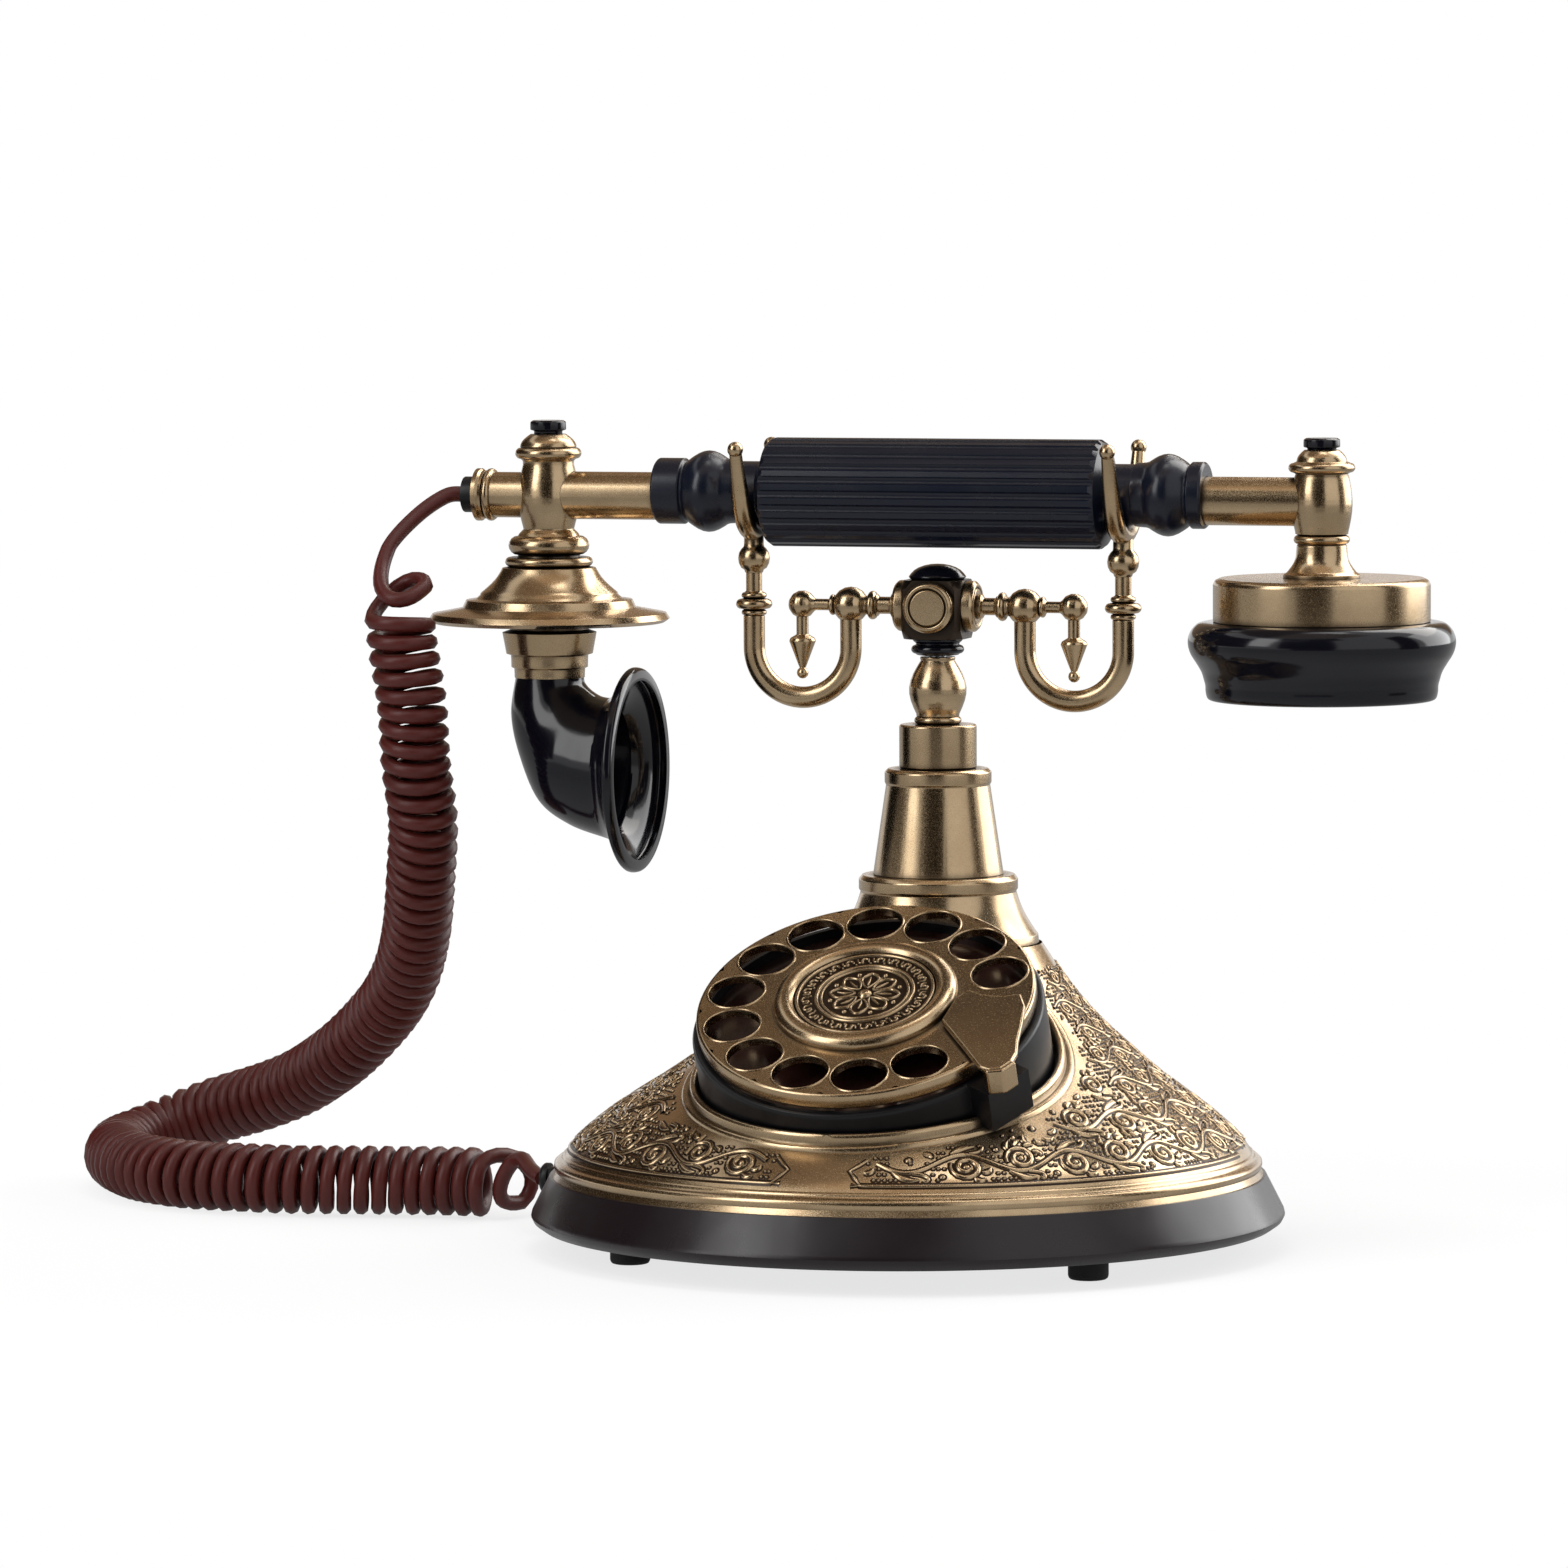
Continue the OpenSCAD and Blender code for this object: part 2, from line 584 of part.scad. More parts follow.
// A toothed wheel: straight-sided teeth, narrower than their gaps
module toothed(teeth, bore, h, phase = 0) {
    pitch = 360 / teeth;
    r = teeth * gear_module / 2;
    difference() {
        linear_extrude(h) polygon([for (i = [0 : teeth - 1]) let (a = (i + phase) * pitch) each [
            for (q = [[r - gear_module * 1.1, -0.24], [r + gear_module * 0.8, -0.1],
                      [r + gear_module * 0.8, 0.1], [r - gear_module * 1.1, 0.24]])
            [q[0] * cos(a + q[1] * pitch), q[0] * sin(a + q[1] * pitch)]]]);
        translate([0, 0, -1]) disc(bore, h + 2);
    }
}
module dial_gear() color(brass) on_dial(gear_s) union() {
    toothed(gear_teeth, shaft_r + seat, gear_t);
    translate([0, 0, gear_t]) sleeve(9, shaft_r + seat, 1.5);
    rotate(120) translate([6, -2, gear_t]) cube([7, 4, 1.5]);
}
module governor_pinion() color(steel) on_dial() translate([gear_distance, 0, 0]) union() {
    translate([0, 0, gear_s - 0.3]) rotate(180)
        toothed(pinion_teeth, pinion_shaft_r - 0.5, gear_t + 0.6, phase = 0.5);
    translate([0, 0, housing_floor + 0.3]) disc(pinion_shaft_r, gear_s - housing_floor + gear_t);
    translate([0, 0, housing_floor + floor_t + 1]) disc(cup_r - 3, cup_h - 3);
}

// ---------- column ----------

module column_collar() color(brass) difference() {
    on_column(bell_top) turned([
        [bell_top_r - column_wall, 0], [bell_top_r - 0.8, 0], [bell_top_r - 1.1, 2.4],
        each swell(bell_top_r - 1.6, 3, collar_r + 0.4, collar_h - 4.6, -0.7),
        [collar_r + 0.9, collar_h - 4], [collar_r + 0.9, collar_h - 1.2], [collar_r, collar_h],
        [tube_r + seat, collar_h], [tube_r + seat, collar_h - column_wall],
        [collar_r - column_wall, collar_h - column_wall], [collar_r - column_wall, collar_h - 6]
    ]);
    dial_hole();
}

module column_cone() color(brass) on_column(collar_top) turned([
    [cone_r - column_wall, 0], [cone_r, 0], [cone_top_r + 0.5, cone_h - 4.4],
    [cone_top_r + 0.9, cone_h - 4],
    [cone_top_r + 0.9, cone_h - 0.9], [cone_top_r, cone_h], [tube_r + seat, cone_h],
    [tube_r + seat, cone_h - column_wall], [cone_top_r - column_wall, cone_h - column_wall]
]);

module column_drum() color(brass) on_column(cone_top) turned([
    [tube_r + seat, 0], [drum_r - 0.4, 0], [drum_r, 0.4], [drum_r, drum_h - 0.4], [drum_r - 0.4, drum_h],
    each bead(drum_ring_r, drum_h, drum_ring_h), [tube_r + seat, drum_h + drum_ring_h]
]);

module column_vase() color(brass) on_column(vase_z) turned([
    [rod_r + run, 0], [vase_r - 2, 0], each swell(vase_r - 2, 0.6, 4.7, vase_h - 1, vase_r - 5.35),
    [4.9, vase_h - 0.6], [4.9, vase_h], [rod_r + run, vase_h]
]);

module column_tube() color(steel) on_column(collar_top - column_wall - nut_h)
    sleeve(tube_r, tube_bore_r, drum_top + drum_ring_h - collar_top + column_wall + nut_h);

module column_nut() color(steel) on_column(collar_top - column_wall - nut_h) difference() {
    cylinder(d = nut_across, h = nut_h, $fn = 6);
    translate([0, 0, -1]) cylinder(r = tube_r + seat, h = nut_h + 2, $fn = 64);
}

// ---------- cradle ----------

module cross_block() color(dark_brass) on_column(block_z) difference() {
    intersection() {
        translate([-block_w / 2, -block_w / 2, 0]) cube([block_w, block_w, block_h]);
        turned([[0, 0], [block_w / 2 + 1.2, 0], [block_w / 2 + 2.6, 2.5],
            [block_w / 2 + 2.6, block_h - 2.5],
            [block_w / 2 + 1.2, block_h], [0, block_h]]);
    }
    translate([0, 0, -1]) disc(rod_r + seat, block_h / 2 + 1);
}

module block_dome() color(black) on_column(block_z + block_h) turned([
    [0, 0], [block_w / 2 - 1.2, 0], [block_w / 2 - 0.4, 0.8],
    for (a = [20 : 14 : 90]) [(block_w / 2 - 0.7) * cos(a), 0.4 + 4 * sin(a)]
]);

module block_bosses() color(brass) on_column(arm_z) for (a = [0 : 90 : 270]) rotate(a)
    translate([block_w / 2, 0, 0]) outwards(1) turned([
        [0, 0], [boss_r, 0], [boss_r, boss_h - 0.9], [boss_r - 0.8, boss_h],
        [boss_r - 1.5, boss_h], [boss_r - 1.9, boss_h - 0.7], [boss_r - 2.3, boss_h], [0, boss_h]
    ]);

module cradle_flange() color(black) on_column(flange_z) turned([
    [rod_r + seat, 0], [flange_r - 1.6, 0], each bead(flange_r, 0.4, 2.4), [flange_r - 1.4, 3.2],
    [flange_r - 0.5, flange_h - 0.6], [flange_r - 0.5, flange_h], [rod_r + seat, flange_h]
]);

// One arm of the cradle, turned along its own axis; z is the distance from the column
arm_start = block_w / 2 + boss_h;
module cradle_arms() color(brass) on_column(arm_z) for (side = [-1, 1]) difference() {
    outwards(side) turned([
        [0, arm_start], [3.4, arm_start], [3.4, arm_start + 1.2], [2.4, arm_start + 1.8],
        [2.4, arm_start + 5],
        [3.1, arm_start + 5.6], each bead(4, hook_in_x - ball_r + 0.2 - 2.6, 2.2),
        [2.6, hook_in_x - ball_r + 0.4],
        for (a = [-58 : 19 : 58]) [ball_r * cos(a), hook_in_x + ball_r * sin(a)],
        each bead(2.9, hook_in_x + ball_r - 0.6, 1.3), [1.6, hook_in_x + ball_r + 1.2],
        [1.6, small_ball_x - small_ball_r],
        for (a = [-60 : 25 : 90]) [small_ball_r * cos(a), small_ball_x + small_ball_r * sin(a)]
    ]);
    translate([side * hook_in_x, 0, -ball_r - 1]) disc(hook_rod_r + seat, ball_r + 1 - 3.6);
    translate([side * small_ball_x, 0, -small_ball_r - 1]) disc(1.7 + seat, small_ball_r + 1 - 3);
}

pendant_l = 20.8;
module pendants() color(brass) on_column(arm_z - pendant_l) for (side = [-1, 1])
    translate([side * small_ball_x, 0, 0])
    turned([
        [0, 0], for (a = [-60 : 30 : 60]) [1.65 * cos(a), 1.65 + 1.65 * sin(a)], [1, 3.4],
        [3.75, 10.6], [3.4, 11.4], [1.7, 12.4], [1.7, pendant_l - 3], [0, pendant_l - 3]
    ]);

module hook(side) color(brass) on_column() union() {
    translate([side * small_ball_x, 0, hook_z]) rotate([90, 0, 0]) rotate([0, 0, 180])
        rotate_extrude(angle = 180) translate([hook_bend_r, 0]) circle(hook_rod_r);
    translate([side * hook_in_x, 0, hook_z]) disc(hook_rod_r, hook_drop - 3.6);
    translate([side * hook_out_x, 0, hook_z]) turned([
        [0, 0], [hook_rod_r, 0], [hook_rod_r, hook_drop - 3.4], each bead(3.55, hook_drop - 3.2, 1.6),
        each bead(5.1, hook_drop - 1.4, 2.8), each bead(3.55, hook_drop + 1.6, 1.6),
        [2.25, hook_drop + 3.6], [2.25, hook_drop + 8.8], [0, hook_drop + 8.8]
    ]);
}
module hook_left() hook(-1);
module hook_right() hook(1);

// The fork rises from its base, bends round the handset's waist and spreads to two tips
saddle_point = saddle_r * [cos(saddle_end), -sin(saddle_end)];
prong_l = norm([prong_spread, prong_rise] - saddle_point);
module saddle() translate([0, 0, grip_z]) rotate([90, 0, 90]) rotate(-180 + saddle_end)
    rotate_extrude(angle = 180 - 2 * saddle_end) translate([saddle_r, 0]) circle(prong_r);
module prong(side) {
    translate([0, side * saddle_point[0], grip_z + saddle_point[1]]) rotate([-side * saddle_end, 0, 0]) {
        sphere(knuckle_r);
        translate([0, 0, 0.5]) disc(prong_r, prong_l - 0.5);
    }
    translate([0, side * prong_spread, grip_z + prong_rise]) sphere(knuckle_r);
}
module fork(side) color(brass) on_column() translate([side * hook_out_x, 0, 0]) union() {
    translate([0, 0, hook_top]) turned([
        [0, 0], [2.6, 0], each swell(3, 0.6, 1.6, fork_h, 1.6), [1.5, grip_z - saddle_r - hook_top],
        [0, grip_z - saddle_r - hook_top]
    ]);
    saddle();
    prong(1);
    prong(-1);
}
module fork_left() fork(-1);
module fork_right() fork(1);

module plunger_rod() color(steel) on_column() union() {
    translate([0, 0, rod_end]) disc(rod_r, block_z + block_h / 2 - rod_end - 0.5);
    translate([0, 0, rod_collar_z]) disc(spring_r, 2);
}

// ---------- handset ----------

module grip() color(navy) on_grip() difference() {
    union() for (side = [-1, 1]) outwards(side) turned([
        [0, 0], [grip_r, 0], [grip_r, grip_half], [grip_r - 0.9, grip_half + 1.3],
        [waist_r + 1.4, grip_half + 2.6], [waist_r, hook_out_x - prong_r - gap], [waist_r, waist_x],
        [0, waist_x]
    ]);
    for (i = [0 : flute_count - 1]) rotate([i * 360 / flute_count, 0, 0])
        translate([-grip_half - 2, 0, grip_r + 0.5]) outwards(1) disc(1.3, 2 * grip_half + 4);
}

module ferrule(side) color(navy) on_grip() outwards(side) difference() {
    turned([
        [0, waist_x], [waist_r + 0.3, waist_x], [waist_r + 0.5, waist_x + 3],
        each swell(waist_r + 0.8, waist_x + 4, bulb_r - 2.6, bulb_x + 5, 2.2),
        [bulb_r - 3.4, bulb_x + 5.8], [bulb_r - 3.4, bulb_x + 6.2], [bulb_r - 2.5, bulb_x + 6.8],
        [bulb_r - 2.5, ferrule_end(side) - 0.6], [bulb_r - 3.1, ferrule_end(side)], [0, ferrule_end(side)]
    ]);
    // The tube's socket lies on the tubes' axis, below the grip's
    translate([side * grip_rise, 0, ferrule_end(side) - 8]) disc(arm_tube_r + seat, 9);
}
module ferrule_left() ferrule(-1);
module ferrule_right() ferrule(1);

module handset_tubes() color(brass) for (side = [-1, 1])
    on_handset(side * (ferrule_end(side) - 8)) outwards(side)
        disc(arm_tube_r, (side < 0 ? mouth_reach : ear_reach) - tube_seat - ferrule_end(side) + 8);

// The turned mouthpiece fitting, with sockets for the handset's tube and for the cord's hub
module mouth_fitting() color(brass) difference() {
    union() {
        on_mouth(mouth_base) turned([
            [0, 0], [9, 0], each bead(11.4, 0.6, 5.4), [8.4, 6.6], [mouth_urn_r - 1.5, 7.8],
            each swell(mouth_urn_r - 1.5, 8.2, mouth_urn_r - 1.5, 26, 1.5), [mouth_urn_r - 1.5, 27],
            each bead(9.35, 27.6, 3.2), each swell(8, 31.2, 5, 34.6, 0.6), [0, 34.6]
        ]);
        on_handset(-mouth_reach) outwards(-1) turned([
            [0, 0], [6.4, 0], [6.4, hub_out], each bead(7.4, hub_out, 2.4), [6.8, hub_out + 2.6],
            [6.8, hub_out + 3.4], [7.4, hub_out + 4], [7.4, hub_out + hub_ring_l], [0, hub_out + hub_ring_l]
        ]);
    }
    on_handset(-mouth_reach + tube_seat) outwards(1) disc(arm_tube_r + seat, 20);
}

module cord_gland() color(black) on_handset(-mouth_reach - hub_out - hub_ring_l) outwards(-1)
    cylinder(r = knob_r, h = gland_l, $fn = 64);

module mouth_flange() color(brass) on_mouth() difference() {
    turned([
        [0, horn_top], [horn_bore_r, horn_top], [9.9, horn_top], [10, horn_top + 2.6], [10.8, horn_top + 3],
        [10.9, horn_top + 6.4], [12.2, horn_top + 6.8], [13.3, horn_top + 12.8], [11, horn_top + 13.6],
        [11, horn_top + 14.6], [mouth_disc_r - 1.6, horn_top + 15.5], [mouth_disc_r, horn_top + 16.6],
        [mouth_disc_r - 1, horn_top + 18.2], [mouth_disc_r - 9.5, horn_top + 19.8],
        [mouth_disc_r - 10.5, horn_top + 22], [20.6, horn_top + 22.4], [19.5, horn_top + 23.4],
        each swell(19.3, horn_top + 24, 13.2, mouth_base - 3, -0.8), each bead(12.4, mouth_base - 2.6, 2.6),
        [0, mouth_base]
    ]);
    translate([0, 0, horn_top - 1]) disc(horn_bore_r, 20);
    translate([0, 0, horn_top + 18]) disc(capsule_r + seat, mouth_base - horn_top - 22);
}
module microphone_capsule() color(steel) on_mouth(horn_top + 19) disc(capsule_r, 9);

// Inner and outer points of the horn's bend, from the neck to the start of the flare
horn_in = [[9.65, 0], [9.9, -1.4], [11.4, -3.2], [14, -4.9], [16.4, -5.5], [18.6, -5.6]];
horn_out = [[-9.65, 0], [-10.9, -10.5], [-8.4, -22], [-2.4, -35], [6.6, -41.6], [17.4, -45.2]];
// How far the flare has opened, as a share, and how far along X it has run
flare = [[0.18, 2.2], [0.5, 4.4], [0.82, 5.6], [1, 6.4], [0.99, 8], [0.92, 8.6]];
flare_mid = [(horn_in[5] + horn_out[5])[0] / 2, (horn_in[5] + horn_out[5])[1] / 2];
flare_r = norm(horn_in[5] - horn_out[5]) / 2;
horn_sides = 32;
function horn_ring(a, b, r) = let (m = (a + b) / 2, u = unit(a - b))
    [for (j = [0 : horn_sides - 1]) let (q = 360 * j / horn_sides)
        [m[0] + r * cos(q) * u[0], r * sin(q), m[1] + r * cos(q) * u[1]]];
function bend_ring(i, inset) = let (t = i / 10 * 5, a = smooth(horn_in, t), b = smooth(horn_out, t))
    horn_ring(a, b, norm(a - b) / 2 - inset);
function flare_ring(i, inset) = let (f = flare[i], m = flare_mid + [f[1], -f[1] * 0.05])
    horn_ring(m + [0, 1], m - [0, 1], flare_r + (horn_rim_r - flare_r) * f[0] - inset);
module mouth_horn() color(black) on_mouth(horn_top) skin([
    for (i = [0 : 10]) bend_ring(i, 0), for (i = [0 : 5]) flare_ring(i, 0),
    for (i = [5 : -1 : 0]) flare_ring(i, horn_wall + (i > 2 ? 1 : 0.4)),
    for (i = [10 : -1 : 0]) bend_ring(i, horn_wall)
], loop = true);

module ear_fitting() color(brass) difference() {
    on_ear(ear_base) turned([
        [0, 0], [10.6, 0], [10.6, 1], each swell(9.6, 1.6, 7, 7.5, -0.7), [6.9, 9],
        each bead(7.75, 9.4, 2.4),
        [ear_urn_r - 1.1, 12.2], each swell(ear_urn_r - 1.1, 12.6, ear_urn_r - 0.8, 27.6, 1), [7.2, 28.6],
        each bead(9.2, 29, 2.6), each swell(7, 32, 4.8, 35.2, 0.5), [0, 35.2]
    ]);
    on_handset(ear_reach - tube_seat) outwards(-1) disc(arm_tube_r + seat, 20);
}
module ear_drum() color(brass) on_ear(ear_cup_top) turned([
    [ear_drum_r - 2.4, 0], [ear_drum_r, 0], [ear_drum_r, 10.2], [ear_drum_r - 0.5, 11.4],
    [ear_drum_r - 1.8, ear_base - ear_cup_top], [0, ear_base - ear_cup_top],
    [0, ear_base - ear_cup_top - 2.4],
    [ear_drum_r - 2.4, ear_base - ear_cup_top - 2.4]
]);
module ear_cup() color(black) on_ear(ear_face) turned([
    [0, ear_dish], [20, ear_dish - 0.6], [27, 1.2], [28.6, 0], [31.3, 0], [31.6, 0.8], [31.8, 4.4],
    [32.4, 5.4],
    [32.8, 7.6], [35.2, 11], [ear_cup_r - 0.2, 14], [ear_cup_r, 15.8], [ear_cup_r - 0.9, 18.6],
    [ear_cup_r - 3.2, ear_cup_h], [receiver_r + gap, ear_cup_h], [receiver_r + gap, ear_dish + 4],
    [0, ear_dish + 4]
]);
module receiver_capsule() color(steel) on_ear(ear_face + ear_dish + 4) disc(receiver_r, 9);

module finial_knobs() color(black) {
    on_mouth(mouth_base + 34.6) turned([
        [0, 0], [4, 0], [4, 0.9], [knob_r, 1.2], [knob_r, 3.4], [knob_r - 0.8, 3.9], [0, 3.9]]);
    on_ear(ear_base + 35.2) turned([
        [0, 0], [4, 0], [4, 0.5], [knob_r, 0.8], [knob_r, 2.8], [knob_r - 0.8, 3.3], [0, 3.3]]);
}

// ---------- handset cord ----------

// The cord leaves the gland to the left, hangs as a curl and comes back along the table.
coil_top = [-148, 3, 177];
coil_end = [-128, 31, 10.4];
lead_top_way = [
    [-mouth_reach - hub_out - hub_ring_l - gland_l, column_y, handset_z], [-143, 31, 205], [-149, 24, 200],
    [-154, 14, 192], [-155, 7, 184], [-153, 3, 177]
];
coil_way = [
    coil_top, [-147, 3, 165], [-145, 5, 148], [-145, 8, 131], [-145, 14, 114], [-149, 23, 96],
    [-154, 34, 81],
    [-163, 48, 65], [-176, 62, 52], [-189, 73, 42], [-204, 86, 33], [-220, 96, 26], [-239, 104, 20],
    [-253, 103, 14.5], [-261, 93, 11], [-261, 78, 10.2], [-254, 60, 10.2], [-242, 43, 10.2],
    [-225, 30, 10.2],
    [-203, 25, 10.2], [-186, 25, 10.2], [-169, 28, 10.2], [-152, 31, 10.2], coil_end
];
lead_base_way = [[-128, 27, 13.5], [-123, 25, 18], [-118, 19, 19], [-112, 9, 17], [-bush_face, 0, bush_z]];

module cord_lead_top() color(maroon) on_base() cord(lead_top_way, cord_d / 2, 12, [-1, 0, 0], [0, 0, -1]);
module cord_coil() color(maroon) on_base()
    cord(coil_way, coil_d / 2, 60, [0, 0, -1], [1, 0, 0], sides = 12);
module cord_lead_base() color(maroon) on_base() cord(lead_base_way, cord_d / 2, 10, [1, 0, 0], [1, 0, 0]);

base_shell();
base_rim();
bottom_plate();
rubber_feet();
base_screws();
ballast_weight();
line_jack();
cord_bush();
circuit_board();
ringer_gongs();
ringer_coil();
ringer_clapper();
hook_switch();
switch_lever();
hook_spring();
dial_housing();
number_plate();
finger_stop();
dial_bearing();
governor_cup();
return_spring();
finger_wheel();
hub_ring();
dial_shaft();
dial_gear();
governor_pinion();
column_collar();
column_cone();
column_drum();
column_vase();
column_tube();
column_nut();
cross_block();
block_dome();
block_bosses();
cradle_flange();
cradle_arms();
pendants();
hook_left();
hook_right();
fork_left();
fork_right();
plunger_rod();
grip();
ferrule_left();
ferrule_right();
handset_tubes();
mouth_fitting();
mouth_flange();
mouth_horn();
microphone_capsule();
ear_fitting();
ear_drum();
ear_cup();
receiver_capsule();
finial_knobs();
cord_gland();
cord_lead_top();
cord_coil();
cord_lead_base();
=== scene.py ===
# %% [markdown]
# # Antique style rotary telephone
# The telephone is a bell of antiqued brass with a tilted dial, a turned column, a cradle that works the
# hook switch, and a handset on a curly cord. The imported CAD model is the frame: it says where each piece is
# and how it moves. This lesson dresses it. It takes most pieces from the frame and gives them the small
# rounded edges of real metal and plastic. It models what the frame only blocks out: the bell with
# its ornament, the dial, the forks, the horn, the finger stop, the ear cup and the cord.

import bisect
import json
import math
import random

import bmesh
import bpy
from mathutils import Matrix, Vector

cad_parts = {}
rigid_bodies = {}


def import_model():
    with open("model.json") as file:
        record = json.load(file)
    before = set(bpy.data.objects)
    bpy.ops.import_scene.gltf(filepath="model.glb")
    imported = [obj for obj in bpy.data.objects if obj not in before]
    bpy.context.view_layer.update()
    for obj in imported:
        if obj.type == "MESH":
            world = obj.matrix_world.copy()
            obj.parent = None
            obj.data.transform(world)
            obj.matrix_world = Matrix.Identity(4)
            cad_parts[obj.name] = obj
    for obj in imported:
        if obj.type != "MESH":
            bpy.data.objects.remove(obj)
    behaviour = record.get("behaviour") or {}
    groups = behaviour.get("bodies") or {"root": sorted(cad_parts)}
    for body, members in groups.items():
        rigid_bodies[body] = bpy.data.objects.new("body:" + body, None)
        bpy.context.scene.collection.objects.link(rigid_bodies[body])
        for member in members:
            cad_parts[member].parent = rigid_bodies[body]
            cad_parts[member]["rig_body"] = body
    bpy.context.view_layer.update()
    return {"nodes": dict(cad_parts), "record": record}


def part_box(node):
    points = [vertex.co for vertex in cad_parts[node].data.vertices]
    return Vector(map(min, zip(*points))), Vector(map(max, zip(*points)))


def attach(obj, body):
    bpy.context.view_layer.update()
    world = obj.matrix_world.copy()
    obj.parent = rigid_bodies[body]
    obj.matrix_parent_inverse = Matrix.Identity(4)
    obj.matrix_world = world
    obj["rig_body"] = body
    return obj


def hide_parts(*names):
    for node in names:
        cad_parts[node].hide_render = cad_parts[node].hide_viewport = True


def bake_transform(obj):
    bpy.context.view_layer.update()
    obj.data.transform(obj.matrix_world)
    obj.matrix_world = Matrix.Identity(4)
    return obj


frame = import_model()
MM = 0.001
print("nodes:", len(frame["nodes"]))

# %% [markdown]
# ## Places that everything is built from
# The column's axis is read from the frame, and the dial's middle and tilt repeat the frame's own. The
# frame's origin lies under the middle of the telephone's box, so the base's axis is a little to the right
# of it.

# %% Landmarks
def middle(node):
    """The middle of a node's box."""
    low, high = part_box(node)
    return (low + high) / 2


BASE_X = middle("column_cone").x
COLUMN_Y = middle("column_cone").y
DIAL_TILT = math.radians(28.25)
DIAL_CENTRE = Vector((BASE_X, -41.7 * MM, 72.3 * MM))
DIAL_PLACE = Matrix.Translation(DIAL_CENTRE) @ Matrix.Rotation(DIAL_TILT, 4, "X")
print(f"base axis at x = {BASE_X / MM:.2f} mm, column at y = {COLUMN_Y / MM:.1f} mm")

# %% [markdown]
# ## Camera
# A telephone is small, so a long lens from more than two metres away keeps its proportions calm. The camera
# stands a little to the right of the dial and looks down by a few degrees.

# %% Camera
CAMERA_TURN = math.radians(16.29)
CAMERA_DOWN = math.radians(4.47)
CAMERA_ROLL = math.radians(0.25)
CAMERA_AWAY = 2453.5 * MM
CAMERA_ASIDE = -42.1 * MM
CAMERA_HEIGHT = 317.8 * MM
LENS = 202.8  # focal length in millimetres, on a sensor 36 mm wide

camera = bpy.data.objects.new("camera", bpy.data.cameras.new("camera"))
bpy.context.scene.collection.objects.link(camera)
bpy.context.scene.camera = camera
camera.data.lens = LENS
camera.data.sensor_width = 36
camera.data.clip_end = 50
across = Vector((math.cos(CAMERA_TURN), math.sin(CAMERA_TURN), 0))
ahead = Vector((-math.sin(CAMERA_TURN), math.cos(CAMERA_TURN), 0))
over_column = Vector((BASE_X, COLUMN_Y, CAMERA_HEIGHT))
camera.location = over_column + across * CAMERA_ASIDE - ahead * CAMERA_AWAY
camera.rotation_euler = (math.pi / 2 - CAMERA_DOWN, CAMERA_ROLL, CAMERA_TURN)
bpy.context.scene.view_settings.view_transform = "Standard"
print("camera at", [round(v, 3) for v in camera.location])

# %% [markdown]
# ## Helpers for shapes
# A few small helpers serve all pieces. One makes an object of a bmesh. One is a smooth curve through chosen
# points, which the cord, the bell and the horn all use. One marks the edges that stay crisp, where two
# faces meet at more than a given angle.

# %% Shape helpers
def new_object(name, bm, *materials):
    """Makes an object at the origin of a bmesh, and frees the bmesh."""
    mesh = bpy.data.meshes.new(name)
    bm.to_mesh(mesh)
    bm.free()
    for material in materials:
        mesh.materials.append(material)
    made = bpy.data.objects.new(name, mesh)
    bpy.context.scene.collection.objects.link(made)
    return made


def settle(piece, body, slot, *nodes):
    """Gives a piece its body, and hides the nodes that it stands for. Its slot is not used."""
    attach(piece, body)
    if nodes:
        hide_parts(*nodes)


def angles(count, shift=0):
    """That many evenly spaced angles of a full turn."""
    return [2 * math.pi * (i + shift) / count for i in range(count)]


def smooth_point(points, t):
    """The point at place t of a smooth curve through the points, where t counts the points."""
    i = max(0, min(int(t), len(points) - 2))
    f = t - i
    a, b, c, d = (Vector(points[max(0, min(len(points) - 1, k))]) for k in range(i - 1, i + 3))
    second, third = 2 * a - 5 * b + 4 * c - d, 3 * b - a - 3 * c + d
    return 0.5 * (2 * b + f * (c - a) + f * f * second + f ** 3 * third)


def crisp(bm, degrees):
    """Shades the faces smooth and keeps edges sharper than that angle crisp."""
    for face in bm.faces:
        face.smooth = True
    for edge in bm.edges:
        edge.smooth = len(edge.link_faces) == 2 and edge.calc_face_angle(0) < math.radians(degrees)


def turn_outwards(bm, degrees):
    """Points all faces outwards, then shades them."""
    bmesh.ops.recalc_face_normals(bm, faces=bm.faces)
    crisp(bm, degrees)


def sweep(name, points, radius, sides):
    """A round tube of that radius through the points, closed at both ends, as a mesh object."""
    curve = bpy.data.curves.new(name, "CURVE")
    curve.dimensions = "3D"
    curve.bevel_depth = radius
    curve.bevel_resolution = sides // 4 - 1
    curve.use_fill_caps = True
    spline = curve.splines.new("POLY")
    spline.points.add(len(points) - 1)
    for place, point in zip(spline.points, points):
        place.co = (*point, 1)
    holder = bpy.data.objects.new(name, curve)
    mesh = bpy.data.meshes.new_from_object(holder)
    bpy.data.objects.remove(holder)
    bpy.data.curves.remove(curve)
    for face in mesh.polygons:
        face.use_smooth = True
    made = bpy.data.objects.new(name, mesh)
    bpy.context.scene.collection.objects.link(made)
    return made


# %% [markdown]
# ## One helper for nodes and one for colours
# A material is a small tree of nodes. One function adds a node, gives it its settings and links what goes
# in. The colours are written as the hex values that a painter's chart gives, and a function turns them into
# linear light.

